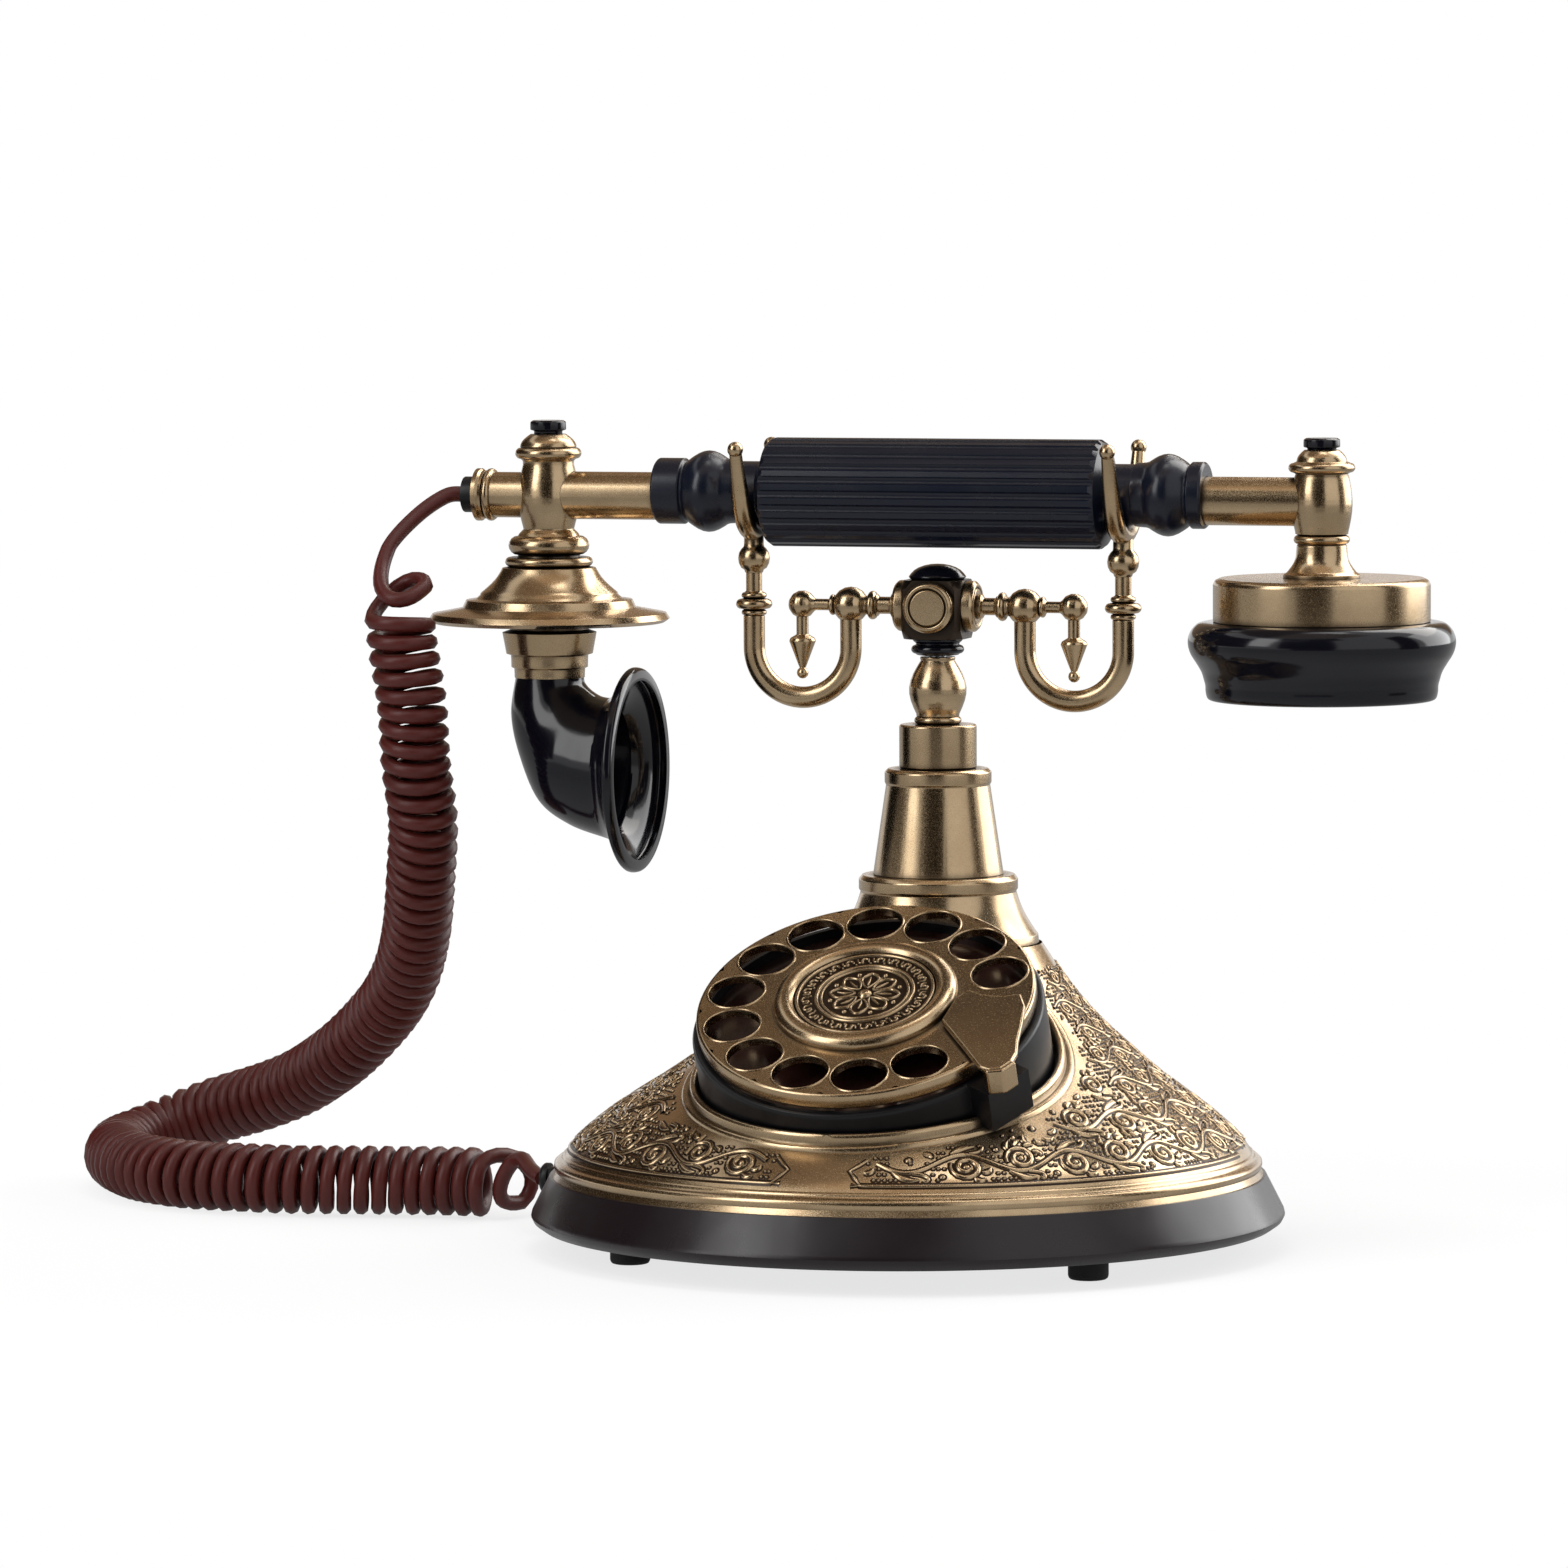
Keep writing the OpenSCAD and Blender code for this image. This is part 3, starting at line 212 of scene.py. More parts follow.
# %% Node and colour helpers
def add(tree, kind, inputs=None, **settings):
    """Adds a node. Each input gets a value, or the output socket of another node."""
    made = tree.nodes.new(kind)
    for name, value in settings.items():
        setattr(made, name, value)
    for name, value in (inputs or {}).items():
        if isinstance(value, bpy.types.NodeSocket):
            tree.links.new(value, made.inputs[name])
        else:
            made.inputs[name].default_value = value
    return made


def blank_material(name):
    """A new material and its tree, without nodes."""
    material = bpy.data.materials.new(name)
    material.use_nodes = True
    material.node_tree.nodes.clear()
    return material, material.node_tree


def colour(hex_value):
    """Linear red, green, blue and alpha of an sRGB hex colour."""
    parts = [int(hex_value[i:i + 2], 16) / 255 for i in (1, 3, 5)]
    return (*(p / 12.92 if p <= 0.04045 else ((p + 0.055) / 1.055) ** 2.4 for p in parts), 1)


# %% [markdown]
# ## Studio
# Polished brass shows its room more than its own colour. So the studio is a white tent, as it is for
# silverware: a white floor and background, four soft lamps, and dark cards around the telephone, which draw
# the dark bands that make metal look like metal. One bright card at the back on the right shows in the
# bell's right side. The cards are seen in reflections only.

# %% Floor and background
def is_seen(tree):
    """1 for rays from the camera, off a mirror or through glass, and 0 for light that falls on things."""
    rays = add(tree, "ShaderNodeLightPath")
    both = add(tree, "ShaderNodeMath", {0: rays.outputs["Is Camera Ray"], 1: rays.outputs["Is Glossy Ray"]},
               operation="MAXIMUM")
    return add(tree, "ShaderNodeMath", {0: both.outputs[0], 1: rays.outputs["Is Transmission Ray"]},
               operation="MAXIMUM").outputs[0]


WORLD_LIGHT = 0.55
world = bpy.data.worlds.new("white tent")
bpy.context.scene.world = world
world.use_nodes = True
tree = world.node_tree
tree.nodes.clear()
falling = add(tree, "ShaderNodeBackground", {"Color": colour("#ffffff"), "Strength": WORLD_LIGHT})
shown = add(tree, "ShaderNodeBackground", {"Color": colour("#ffffff"), "Strength": 1.0})
mixed = add(tree, "ShaderNodeMixShader", {0: is_seen(tree), 1: falling.outputs[0], 2: shown.outputs[0]})
add(tree, "ShaderNodeOutputWorld", {"Surface": mixed.outputs[0]})

MIRRORED = 0.45  # brightness of the paper as the metal mirrors it
NEAR, FAR = 0.14, 0.5  # metres from the telephone between which the paper's shadow fades out
NEAR_WHITE = 0.75  # share of plain white in the paper beside the telephone
paper, tree = blank_material("white paper")
sheet = add(tree, "ShaderNodeBsdfDiffuse", {"Color": colour("#f4f4f4")})
# The metal mirrors the paper at less than half its brightness, so that the undersides of the rods stay dark.
in_mirror = add(tree, "ShaderNodeLightPath").outputs["Is Glossy Ray"]
level = add(tree, "ShaderNodeMapRange", {"Value": in_mirror, 3: 1.0, 4: MIRRORED})
glow = add(tree, "ShaderNodeEmission", {"Color": colour("#ffffff"), "Strength": level.outputs[0]})
# Near the telephone the paper shows its shadow, and half a metre away it has gone over into plain white.
place = add(tree, "ShaderNodeTexCoord").outputs["Object"]
away = add(tree, "ShaderNodeVectorMath", {0: place}, operation="LENGTH").outputs["Value"]
white = add(tree, "ShaderNodeMapRange", {"Value": away, 1: NEAR, 2: FAR, 3: NEAR_WHITE, 4: 1.0})
share = add(tree, "ShaderNodeMath", {0: is_seen(tree), 1: white.outputs[0]}, operation="MULTIPLY")
mixed = add(tree, "ShaderNodeMixShader", {0: share.outputs[0], 1: sheet.outputs[0], 2: glow.outputs[0]})
add(tree, "ShaderNodeOutputMaterial", {"Surface": mixed.outputs[0]})

FLOOR_HALF = 6  # metres from the middle to each side
bm = bmesh.new()
bmesh.ops.create_grid(bm, x_segments=1, y_segments=1, size=FLOOR_HALF)
floor = new_object("floor", bm, paper)

# %% [markdown]
# Lamps and cards are placed by the direction in which the telephone sees them, counted from the lens, so
# one can be moved without working out its coordinates. A card could be a flat plane, but here it is a piece
# of a sphere round the telephone, so that two cards can meet without a gap.

# %% Lamps and cards
AIM_HEIGHT = 0.12
AIM = (0, 0, AIM_HEIGHT)
LAMP_AWAY = 2.0
CARD_AWAY = 1.35
CARD_COLUMNS, CARD_ROWS = 12, 6


def facing(place, target):
    """A matrix that stands at place and looks along its own -Z at target."""
    turned = (Vector(target) - Vector(place)).to_track_quat("-Z", "Y")
    return Matrix.Translation(place) @ turned.to_matrix().to_4x4()


def around(turn, rise, away):
    """A place seen from the telephone: degrees to the right of the lens, degrees up, and metres away."""
    a, b = CAMERA_TURN + math.radians(turn - 90), math.radians(rise)
    level = away * math.cos(b)
    return (level * math.cos(a), level * math.sin(a), AIM_HEIGHT + away * math.sin(b))


# Name: degrees to the right, degrees up, width and height in metres, watts
LAMPS = {
    "left window": (-58, 30, 0.7, 1.4, 11),
    "front top": (-33, 49, 0.4, 0.4, 4),
    "right wall": (118, 20, 1.6, 1.5, 24),
    "overhead": (10, 80, 1.0, 1.0, 12),
}
for name, (turn, rise, width, height, power) in LAMPS.items():
    lamp = bpy.data.objects.new(name, bpy.data.lights.new(name, "AREA"))
    bpy.context.scene.collection.objects.link(lamp)
    lamp.data.shape = "RECTANGLE"
    lamp.data.size = width
    lamp.data.size_y = height
    lamp.data.energy = power
    lamp.matrix_world = facing(around(turn, rise, LAMP_AWAY), AIM)

# Name: from and to in degrees to the right, from and to in degrees up, colour, brightness
CARDS = {
    "card_front": (-26, 12, -8, 3, "#ffdcb8", 0.03),
    "card_front_middle": (-38, 14, 3, 44, "#ffdcb8", 0.02),
    "card_front_high": (-44, 24, 44, 57, "#ffdcb8", 0.05),
    "card_right": (68, 88, -8, 44, "#ffdcb8", 0.05),
    "card_left": (-150, -70, 3, 42, "#ffdcb8", 0.04),
    "card_behind": (-215, -150, 8, 53, "#ffd8b0", 0.3),
    "card_above_left": (-215, -60, 54, 88, "#ffdcb8", 0.2),
    "card_above": (-60, 70, 58, 88, "#ffdebc", 0.5),
    "white_card_right": (108, 172, 27, 66, "#fffcf8", 6.0),
}
for name, (left, right, low, high, tint, brightness) in CARDS.items():
    felt, tree = blank_material(name)
    glow = add(tree, "ShaderNodeEmission", {"Color": colour(tint), "Strength": brightness})
    add(tree, "ShaderNodeOutputMaterial", {"Surface": glow.outputs[0]})
    bm = bmesh.new()
    turns = [left + (right - left) * i / CARD_COLUMNS for i in range(CARD_COLUMNS + 1)]
    rises = [low + (high - low) * k / CARD_ROWS for k in range(CARD_ROWS + 1)]
    rows = [[bm.verts.new(around(turn, rise, CARD_AWAY)) for turn in turns] for rise in rises]
    for lower, upper in zip(rows, rows[1:]):
        for i in range(CARD_COLUMNS):
            bm.faces.new((lower[i], lower[i + 1], upper[i + 1], upper[i]))
    card = new_object(name, bm, felt)
    card.visible_camera = card.visible_diffuse = card.visible_shadow = card.visible_transmission = False
print("lamps:", len(LAMPS), "cards:", len(CARDS))

# %% [markdown]
# ## Finishes
# Each finish starts from what the real one is.
#
# Antiqued brass is polished brass that was darkened in a bath, rubbed bright again where a cloth reaches,
# and lacquered. So its hollows keep a brown-black patina and its edges shine. The hollows are found by
# looking how much of the sky each point sees within three millimetres. A painted picture could say where
# the patina lies, but this way none is needed.

# %% Antiqued brass
CLOUD = 14 * MM  # the bath took more or less in clouds of this size
GRAIN = 0.4 * MM  # the rubbed grain is finer than 0.1 mm, and is drawn coarser so that it shows
HOLLOW = 3 * MM  # how far a point looks for the walls of a hollow


def brass(name, bright, dull, patina, roughness):
    """Brass darkened in a bath and rubbed bright, under a thin lacquer."""
    material, tree = blank_material(name)
    place = add(tree, "ShaderNodeTexCoord").outputs["Object"]
    clouds = add(tree, "ShaderNodeTexNoise",
                 {"Vector": place, "Scale": 1 / CLOUD, "Detail": 5, "Roughness": 0.65})
    metal = add(tree, "ShaderNodeMix", {0: clouds.outputs["Fac"], 6: colour(bright), 7: colour(dull)},
                data_type="RGBA")
    grain = add(tree, "ShaderNodeTexNoise", {"Vector": place, "Scale": 1 / GRAIN, "Detail": 2})
    hollows = add(tree, "ShaderNodeAmbientOcclusion", {"Distance": HOLLOW}, samples=8)
    # Where a point sees nine tenths of the sky the cloth has been, and where it sees four tenths it hasn't.
    depth = add(tree, "ShaderNodeMapRange", {"Value": hollows.outputs["AO"], 1: 0.4, 2: 0.9, 3: 1.0, 4: 0.0})
    uneven = add(tree, "ShaderNodeMath", {0: clouds.outputs["Fac"], 1: 0.45}, operation="ADD")
    kept = add(tree, "ShaderNodeMath", {0: depth.outputs[0], 1: uneven.outputs[0]}, operation="MULTIPLY",
               use_clamp=True)
    tone = add(tree, "ShaderNodeMix", {0: kept.outputs[0], 6: metal.outputs[2], 7: colour(patina)},
               data_type="RGBA")
    satin = add(tree, "ShaderNodeMapRange",
                {"Value": grain.outputs["Fac"], 1: 0.3, 2: 0.7, 3: roughness - 0.05, 4: roughness + 0.07})
    rough = add(tree, "ShaderNodeMath", {0: kept.outputs[0], 1: 0.25, 2: satin.outputs[0]},
                operation="MULTIPLY_ADD")
    relief = add(tree, "ShaderNodeBump",
                 {"Height": grain.outputs["Fac"], "Strength": 0.08, "Distance": 0.05 * MM})
    skin = add(tree, "ShaderNodeBsdfPrincipled", {
        "Base Color": tone.outputs[2], "Metallic": 1.0, "Roughness": rough.outputs[0],
        "Normal": relief.outputs[0], "Coat Weight": 0.25, "Coat Roughness": 0.12})
    add(tree, "ShaderNodeOutputMaterial", {"Surface": skin.outputs[0]})
    return material


antique_brass = brass("antiqued brass", "#c8b18e", "#9c8262", "#1c130d", 0.22)
dark_bronze = brass("blackened brass", "#43362a", "#2a211a", "#100b08", 0.32)
groove_patina = brass("patina in the engraved grooves", "#35261a", "#241910", "#120c07", 0.5)
print("brasses: antiqued, blackened, and the patina of the grooves")

# %% [markdown]
# Moulded plastic, lacquer, rubber and vinyl are all a colour under a clear skin, so one function makes
# them. What tells them apart is the skin: a polished mould leaves 8 to 15 hundredths of roughness, a satin
# one 20 to 45, and rubber more. A faint orange peel comes from the mould or the spray gun.

# %% Plastic, lacquer, rubber and vinyl
TINT = 20 * MM  # the colour and the gloss change over this distance
PEEL_DEPTH = 0.01 * MM


def moulded(name, main, second, roughness, shine=0.5, peel=0.9 * MM, spots=0.05):
    """A coloured surface under a clear skin, with slow changes of colour and a fine peel."""
    material, tree = blank_material(name)
    place = add(tree, "ShaderNodeTexCoord").outputs["Object"]
    clouds = add(tree, "ShaderNodeTexNoise", {"Vector": place, "Scale": 1 / TINT, "Detail": 4})
    tone = add(tree, "ShaderNodeMix", {0: clouds.outputs["Fac"], 6: colour(main), 7: colour(second)},
               data_type="RGBA")
    skin_wave = add(tree, "ShaderNodeTexNoise", {"Vector": place, "Scale": 1 / peel, "Detail": 2})
    relief = add(tree, "ShaderNodeBump",
                 {"Height": skin_wave.outputs["Fac"], "Strength": 0.5, "Distance": PEEL_DEPTH})
    rough = add(tree, "ShaderNodeMapRange",
                {"Value": clouds.outputs["Fac"], 1: 0.3, 2: 0.7, 3: roughness - spots, 4: roughness + spots})
    skin = add(tree, "ShaderNodeBsdfPrincipled", {
        "Base Color": tone.outputs[2], "Roughness": rough.outputs[0], "Normal": relief.outputs[0],
        "Specular IOR Level": shine})
    add(tree, "ShaderNodeOutputMaterial", {"Surface": skin.outputs[0]})
    return material


black_gloss = moulded("polished black phenolic", "#07080f", "#0b0c14", 0.13, shine=0.4, spots=0.03)
black_satin = moulded("satin black ABS", "#08080b", "#0d0d11", 0.34, shine=0.3)
navy_satin = moulded("blue-black satin ABS", "#0e1322", "#0a0e1a", 0.26, shine=0.38)
# The number plate is black. Its brown tint is a painted reflection of the warm brass round it, which shows
# through the finger holes.
black_plate_painted_reflection = moulded("brown-black plate", "#2a1612", "#1c0f0c", 0.2, shine=0.5)
rim_lacquer = moulded("brown-black lacquer", "#1a1115", "#130d10", 0.30, shine=0.4)
foot_rubber = moulded("black rubber", "#141414", "#1c1c1b", 0.75)
cord_vinyl = moulded("maroon vinyl", "#521c17", "#421612", 0.42, shine=0.3, peel=0.6 * MM)
board_laminate = moulded("green glass laminate", "#2b5c38", "#234c2f", 0.4)


def plated(name, main, second, roughness):
    """Zinc plate or enamelled wire: a metal with a slightly cloudy gloss."""
    made = moulded(name, main, second, roughness)
    made.node_tree.nodes["Principled BSDF"].inputs["Metallic"].default_value = 1.0
    return made


zinc_steel = plated("zinc plated steel", "#a9abae", "#8e9196", 0.32)
ringer_copper = plated("enamelled copper wire", "#b0603c", "#8f4a2c", 0.35)

# %% [markdown]
# The parts inside keep the shape that the frame gives them, and need a finish too. The record names a slot
# for each node, so one table from slot to material serves them all.

# %% Every node of the frame gets its finish
FINISH = {
    "antique_brass": antique_brass, "dark_bronze": dark_bronze, "rim_lacquer": rim_lacquer,
    "black_gloss": black_gloss, "black_satin": black_satin, "navy_satin": navy_satin,
    "foot_rubber": foot_rubber, "zinc_steel": zinc_steel, "ringer_copper": ringer_copper,
    "board_laminate": board_laminate, "cord_vinyl": cord_vinyl,
}
slot_of = {part["node"]: part["material_slot"] for part in frame["record"]["subparts"]}
for name, node in frame["nodes"].items():
    node.data.materials.clear()
    node.data.materials.append(FINISH[slot_of[name]])
print("finishes:", len(FINISH))

# %% [markdown]
# ## Rounded edges
# No real edge is perfectly sharp: a turned or moulded one is broken by a tenth to half a millimetre, and
# that thin round catches the light. The frame's solids have none. So each piece that shows is copied, its
# triangles are merged back into flat faces, and its sharp edges are bevelled. The copy stands for the
# node. A bevel node in the material would look much the same, but only real faces go along when the mesh
# is exported.

# %% Polish the pieces of the frame
MERGE = 0.002 * MM  # points closer than this are one
FLAT = math.radians(0.6)  # triangles that meet at less than this are one face
SHARP = math.radians(32)  # edges that turn by more than this are rounded


def polish(node, edge):
    """A copy of a node with merged faces and small rounded edges, which replaces the node."""
    bm = bmesh.new()
    bm.from_mesh(frame["nodes"][node].data)
    bmesh.ops.remove_doubles(bm, verts=bm.verts, dist=MERGE)
    bmesh.ops.dissolve_degenerate(bm, edges=bm.edges, dist=MERGE)
    bmesh.ops.dissolve_limit(bm, angle_limit=FLAT, verts=bm.verts, edges=bm.edges)
    sharp = [e for e in bm.edges if e.is_manifold and e.calc_face_angle(0) > SHARP]
    bmesh.ops.bevel(bm, geom=sharp, offset=edge, offset_type="OFFSET", segments=2, profile=0.5,
                    affect="EDGES", clamp_overlap=True, material=-1)
    crisp(bm, 40)
    made = new_object(node + "_finished", bm, FINISH[slot_of[node]])
    # Large faces decide the shading of their corners, so that the bevels don't tint them.
    made.modifiers.new("shading", "WEIGHTED_NORMAL").keep_sharp = True
    settle(made, frame["nodes"][node]["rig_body"], slot_of[node], node)
    return made


# Round of the edges of each piece, in millimetres
ROUNDED = {
    "base_rim": 0.5, "rubber_feet": 0.5, "bottom_plate": 0.3, "base_screws": 0.2, "line_jack": 0.3,
    "cord_bush": 0.3, "dial_housing": 0.4, "number_plate": 0.1, "column_collar": 0.3, "column_cone": 0.3,
    "column_drum": 0.25, "column_vase": 0.2, "cross_block": 0.5, "block_dome": 0.2, "block_bosses": 0.2,
    "cradle_flange": 0.15, "cradle_arms": 0.12, "pendants": 0.12, "hook_left": 0.12, "hook_right": 0.12,
    "grip": 0.15, "ferrule_left": 0.2, "ferrule_right": 0.2, "handset_tubes": 0.2, "mouth_fitting": 0.15,
    "mouth_flange": 0.25, "ear_fitting": 0.15, "ear_drum": 0.3, "finial_knobs": 0.2, "cord_gland": 0.3,
}
for node, edge in ROUNDED.items():
    made = polish(node, edge * MM)
    # The number plate takes the black with the painted brown reflection.
    if node == "number_plate":
        made.data.materials[0] = black_plate_painted_reflection
    print(f"{made.name}: {len(made.data.polygons)} faces")

# %% [markdown]
# ## The bell
# The bell is spun from sheet brass, so its side is one smooth curve: a brim, a belly and a waist. Its rings
# lean back as they rise, because the column stands behind the middle of the base. The table below gives the
# share of the height, of the way in from the foot's radius to the top's, and of the way back to the column.

# %% The bell's side
BELL_FOOT = 20.7 * MM
BELL_HEIGHT = 60.9 * MM
BELL_R = 98 * MM
BELL_TOP_R = 28.9 * MM
BELL_WALL = 3.6 * MM
BELL_LINE = [
    (0, 0, 0), (0.08, 0.037, 0.015), (0.156, 0.088, 0.03), (0.268, 0.203, 0.07), (0.358, 0.318, 0.13),
    (0.448, 0.44, 0.22), (0.563, 0.579, 0.36), (0.662, 0.695, 0.49), (0.76, 0.797, 0.63), (0.874, 0.9, 0.81),
    (0.947, 0.959, 0.93), (1, 1, 1)]
HOUSING_R = 48.3 * MM
RINGS = 400

# Rings of the bell from foot to top: radius, how far back the middle is, and height
rings = []
for i in range(RINGS + 1):
    up, way_in, back = smooth_point(BELL_LINE, i / RINGS * (len(BELL_LINE) - 1))
    ring_r = BELL_R + (BELL_TOP_R - BELL_R) * way_in
    rings.append(Vector((ring_r, COLUMN_Y * back, BELL_FOOT + BELL_HEIGHT * up)))
climb = [0.0]
for a, b in zip(rings, rings[1:]):
    climb.append(climb[-1] + math.hypot(b.x - a.x, b.z - a.z))
SLOPE = climb[-1]


def on_bell(angle, slope, out=0.0):
    """A point on the bell, from its direction round the base, metres up the slope and metres off it."""
    i = max(1, min(RINGS, bisect.bisect(climb, slope)))
    a, b = rings[i - 1], rings[i]
    step = (b - a) / (climb[i] - climb[i - 1])
    ring = a + step * (slope - climb[i - 1])
    c, q = math.cos(angle), math.sin(angle)
    normal = Vector((-q, c, 0)).cross(Vector((step.x * c, step.y + step.x * q, step.z))).normalized()
    return Vector((BASE_X + ring.x * c, ring.y + ring.x * q, ring.z)) + normal * out


def bell_radius(slope):
    """The bell's radius at that way up the slope."""
    return rings[max(0, min(RINGS, bisect.bisect(climb, slope)))].x


def from_dial(point):
    """How far a point is from the dial's axis."""
    away = point - DIAL_CENTRE
    normal = DIAL_PLACE.to_3x3() @ Vector((0, 0, 1))
    return (away - normal * away.dot(normal)).length


print(f"the bell's side is {SLOPE / MM:.0f} mm long")

# %% [markdown]
# The sheet has a thickness, which shows at the hole for the dial. So rows of points up the outside and down
# the inside are joined to one closed shell, and a Boolean modifier with a cylinder cuts the hole. The line
# where the two meet is hard to work out by hand, and the modifier finds it.

# %% Close the bell and cut the hole for the dial
def skin(bm, rows, closed=True, loop=False):
    """Faces between rows of points. Loop joins the last row to the first, as closed does within a row."""
    made = [[bm.verts.new(p) for p in row] for row in rows]
    nexts = made[1:] + made[:1] if loop else made[1:]
    for low, high in zip(made, nexts):
        for i in range(len(low) if closed else len(low) - 1):
            k = (i + 1) % len(low)
            bm.faces.new((low[i], low[k], high[k], high[i]))
    return made


LEVELS = 72
directions = angles(288)
bm = bmesh.new()
levels = [SLOPE * i / LEVELS for i in range(LEVELS + 1)]
outside = [[on_bell(a, level) for a in directions] for level in levels]
inside = [[on_bell(a, level, -BELL_WALL) for a in directions] for level in reversed(levels[1:-1:6])]
for row in inside:
    for point in row:
        point.z = max(point.z, BELL_FOOT)
skin(bm, outside + inside, loop=True)
bmesh.ops.recalc_face_normals(bm, faces=bm.faces)
bell = new_object("bell", bm, antique_brass)

bm = bmesh.new()
hole_r = HOUSING_R + 0.3 * MM
bmesh.ops.create_cone(bm, cap_ends=True, segments=160, radius1=hole_r, radius2=hole_r, depth=90 * MM)
bmesh.ops.transform(bm, matrix=DIAL_PLACE, verts=bm.verts)
cutter = new_object("cutter", bm)
cut = bell.modifiers.new("dial hole", "BOOLEAN")
cut.object = cutter
cut.operation = "DIFFERENCE"
cut.solver = "EXACT"
bpy.context.view_layer.update()
hollow = bpy.data.meshes.new_from_object(bell.evaluated_get(bpy.context.evaluated_depsgraph_get()))
bell.modifiers.clear()
bell.data = hollow
bpy.data.objects.remove(cutter)
bm = bmesh.new()
bm.from_mesh(bell.data)
crisp(bm, 35)
bm.to_mesh(bell.data)
bm.free()
settle(bell, "base", "antique_brass", "base_shell")
print("bell faces:", len(bell.data.polygons))

# %% [markdown]
# ## Mouldings of the bell
# Two raised mouldings frame the ornament: a bead round the foot, and a stepped ring where the dial's
# housing comes out of the bell. The ring follows the line where a cylinder round the dial's axis cuts the
# bell, so it runs up and down with the slope. Each point of it is found by halving the distance along the
# cylinder.

# %% Foot bead and the ring round the dial
def moulding(name, rows):
    """A strip with that row of points for each of its lines, open at its sides."""
    bm = bmesh.new()
    skin(bm, rows, closed=False)
    bmesh.ops.remove_doubles(bm, verts=bm.verts, dist=0.001 * MM)
    turn_outwards(bm, 60)
    settle(new_object(name, bm, antique_brass), "base", "antique_brass")


# Way up the slope and height over it, in millimetres: a groove, a bead and a groove
FOOT_BEAD = [(1.8, 0.02), (2.1, 0.35), (2.7, 0.95), (3.5, 1.25), (4.3, 0.95), (4.9, 0.35), (5.2, 0.1),
             (5.9, 0.3), (6.4, 0.32), (6.9, 0.02)]
turnings = directions + directions[:1]
moulding("foot_bead", [[on_bell(a, up * MM, out * MM) for a in turnings] for up, out in FOOT_BEAD])


def ring_on_bell(radius, angle):
    """Where a cylinder of that radius round the dial's axis cuts the bell, and the way off the bell."""
    def place(depth):
        return DIAL_PLACE @ Vector((radius * math.cos(angle), radius * math.sin(angle), depth))

    def inside_by(point):
        height = min(max(point.z, BELL_FOOT), rings[-1].z)
        i = min(range(RINGS + 1), key=lambda k: abs(rings[k].z - height))
        return rings[i].x - math.hypot(point.x - BASE_X, point.y - rings[i].y), i

    low, high = -44 * MM, 6 * MM
    for _ in range(22):  # halving 50 mm that often leaves a hundred-thousandth of a millimetre
        half = (low + high) / 2
        if inside_by(place(half))[0] > 0:
            low = half
        else:
            high = half
    point = place(low)
    i = inside_by(point)[1]
    direction = math.atan2(point.y - rings[i].y, point.x - BASE_X)
    return point, on_bell(direction, climb[i], 1.0) - on_bell(direction, climb[i])


# Distance from the housing and height over the bell, in millimetres: a tall lip, a groove and a low bead
DIAL_RING = [(0.35, -1.5), (0.35, 2.2), (0.9, 2.9), (1.7, 2.9), (2.3, 2.1), (2.6, 0.9), (3.1, 0.45),
             (3.7, 0.8), (4.4, 1.15), (5.1, 0.8), (5.6, -0.1)]
ring_angles = [math.radians(a) for a in range(-232, 53, 2)]
rows = []
for away, out in DIAL_RING:
    row = []
    for angle in ring_angles:
        point, off = ring_on_bell(HOUSING_R + away * MM, angle)
        row.append(point + off * out * MM)
    rows.append(row)
moulding("dial_ring", rows)
print("mouldings done")

# %% [markdown]
# ## Ornament of the bell
# The ornament is a running scroll, the oldest filler of a border: a stem that waves up and down, and in
# each bay a spiral branch with leaves. It is drawn flat in millimetres, as strokes with a width at each
# point. Each stroke is then laid on the bell: its x goes round, its y goes up the slope, and its height
# goes off the brass. Under each bright stroke lies a wider dark one, which is the patina that stays in the
# engraver's groove. A height map could do it too, but crisp lines would then need millions of faces, and
# strokes need far fewer.

# %% Strokes
# Section across a stroke, as shares of its half width and of its height
STROKE = ((-1, -0.1), (-0.62, 0.75), (0, 1), (0.62, 0.75), (1, -0.1))


def stroke_points(points, count=14):
    """Evenly counted points on a smooth curve through flat points."""
    flat_points = [(x, y, 0) for x, y in points]
    return [smooth_point(flat_points, (len(points) - 1) * i / count) for i in range(count + 1)]


def lay_stroke(bm, points, widths, height, rim, place):
    """A raised stroke, made wider by rim on each side. Place puts a flat point and a height in space."""
    rows = []
    last = len(points) - 1
    for i, point in enumerate(points):
        ahead = (points[min(i + 1, last)] - points[max(i - 1, 0)]).normalized()
        side = Vector((-ahead.y, ahead.x, 0))
        width = smooth_point([(w, 0, 0) for w in widths], i / last * (len(widths) - 1)).x + rim
        rows.append([place(point + side * width * share, height * lift) for share, lift in STROKE])
    skin(bm, rows, closed=False)


def lay_berry(bm, spot, radius, height, place, sides=10):
    """A raised dot."""
    top = bm.verts.new(place(spot, height))
    out = [Vector((math.cos(a), math.sin(a), 0)) * radius for a in angles(sides)]
    loops = [[bm.verts.new(place(spot + way * share, height * lift)) for way in out]
             for share, lift in ((0.6, 0.8), (1, -0.1))]
    for i in range(sides):
        k = (i + 1) % sides
        bm.faces.new((top, loops[0][i], loops[0][k]))
        bm.faces.new((loops[0][i], loops[1][i], loops[1][k], loops[0][k]))


BAY = 15
SEED_COLUMNS, SEED_ROWS = 10, 7
SEED_R, SEED_ROOM = 0.42, 1.3


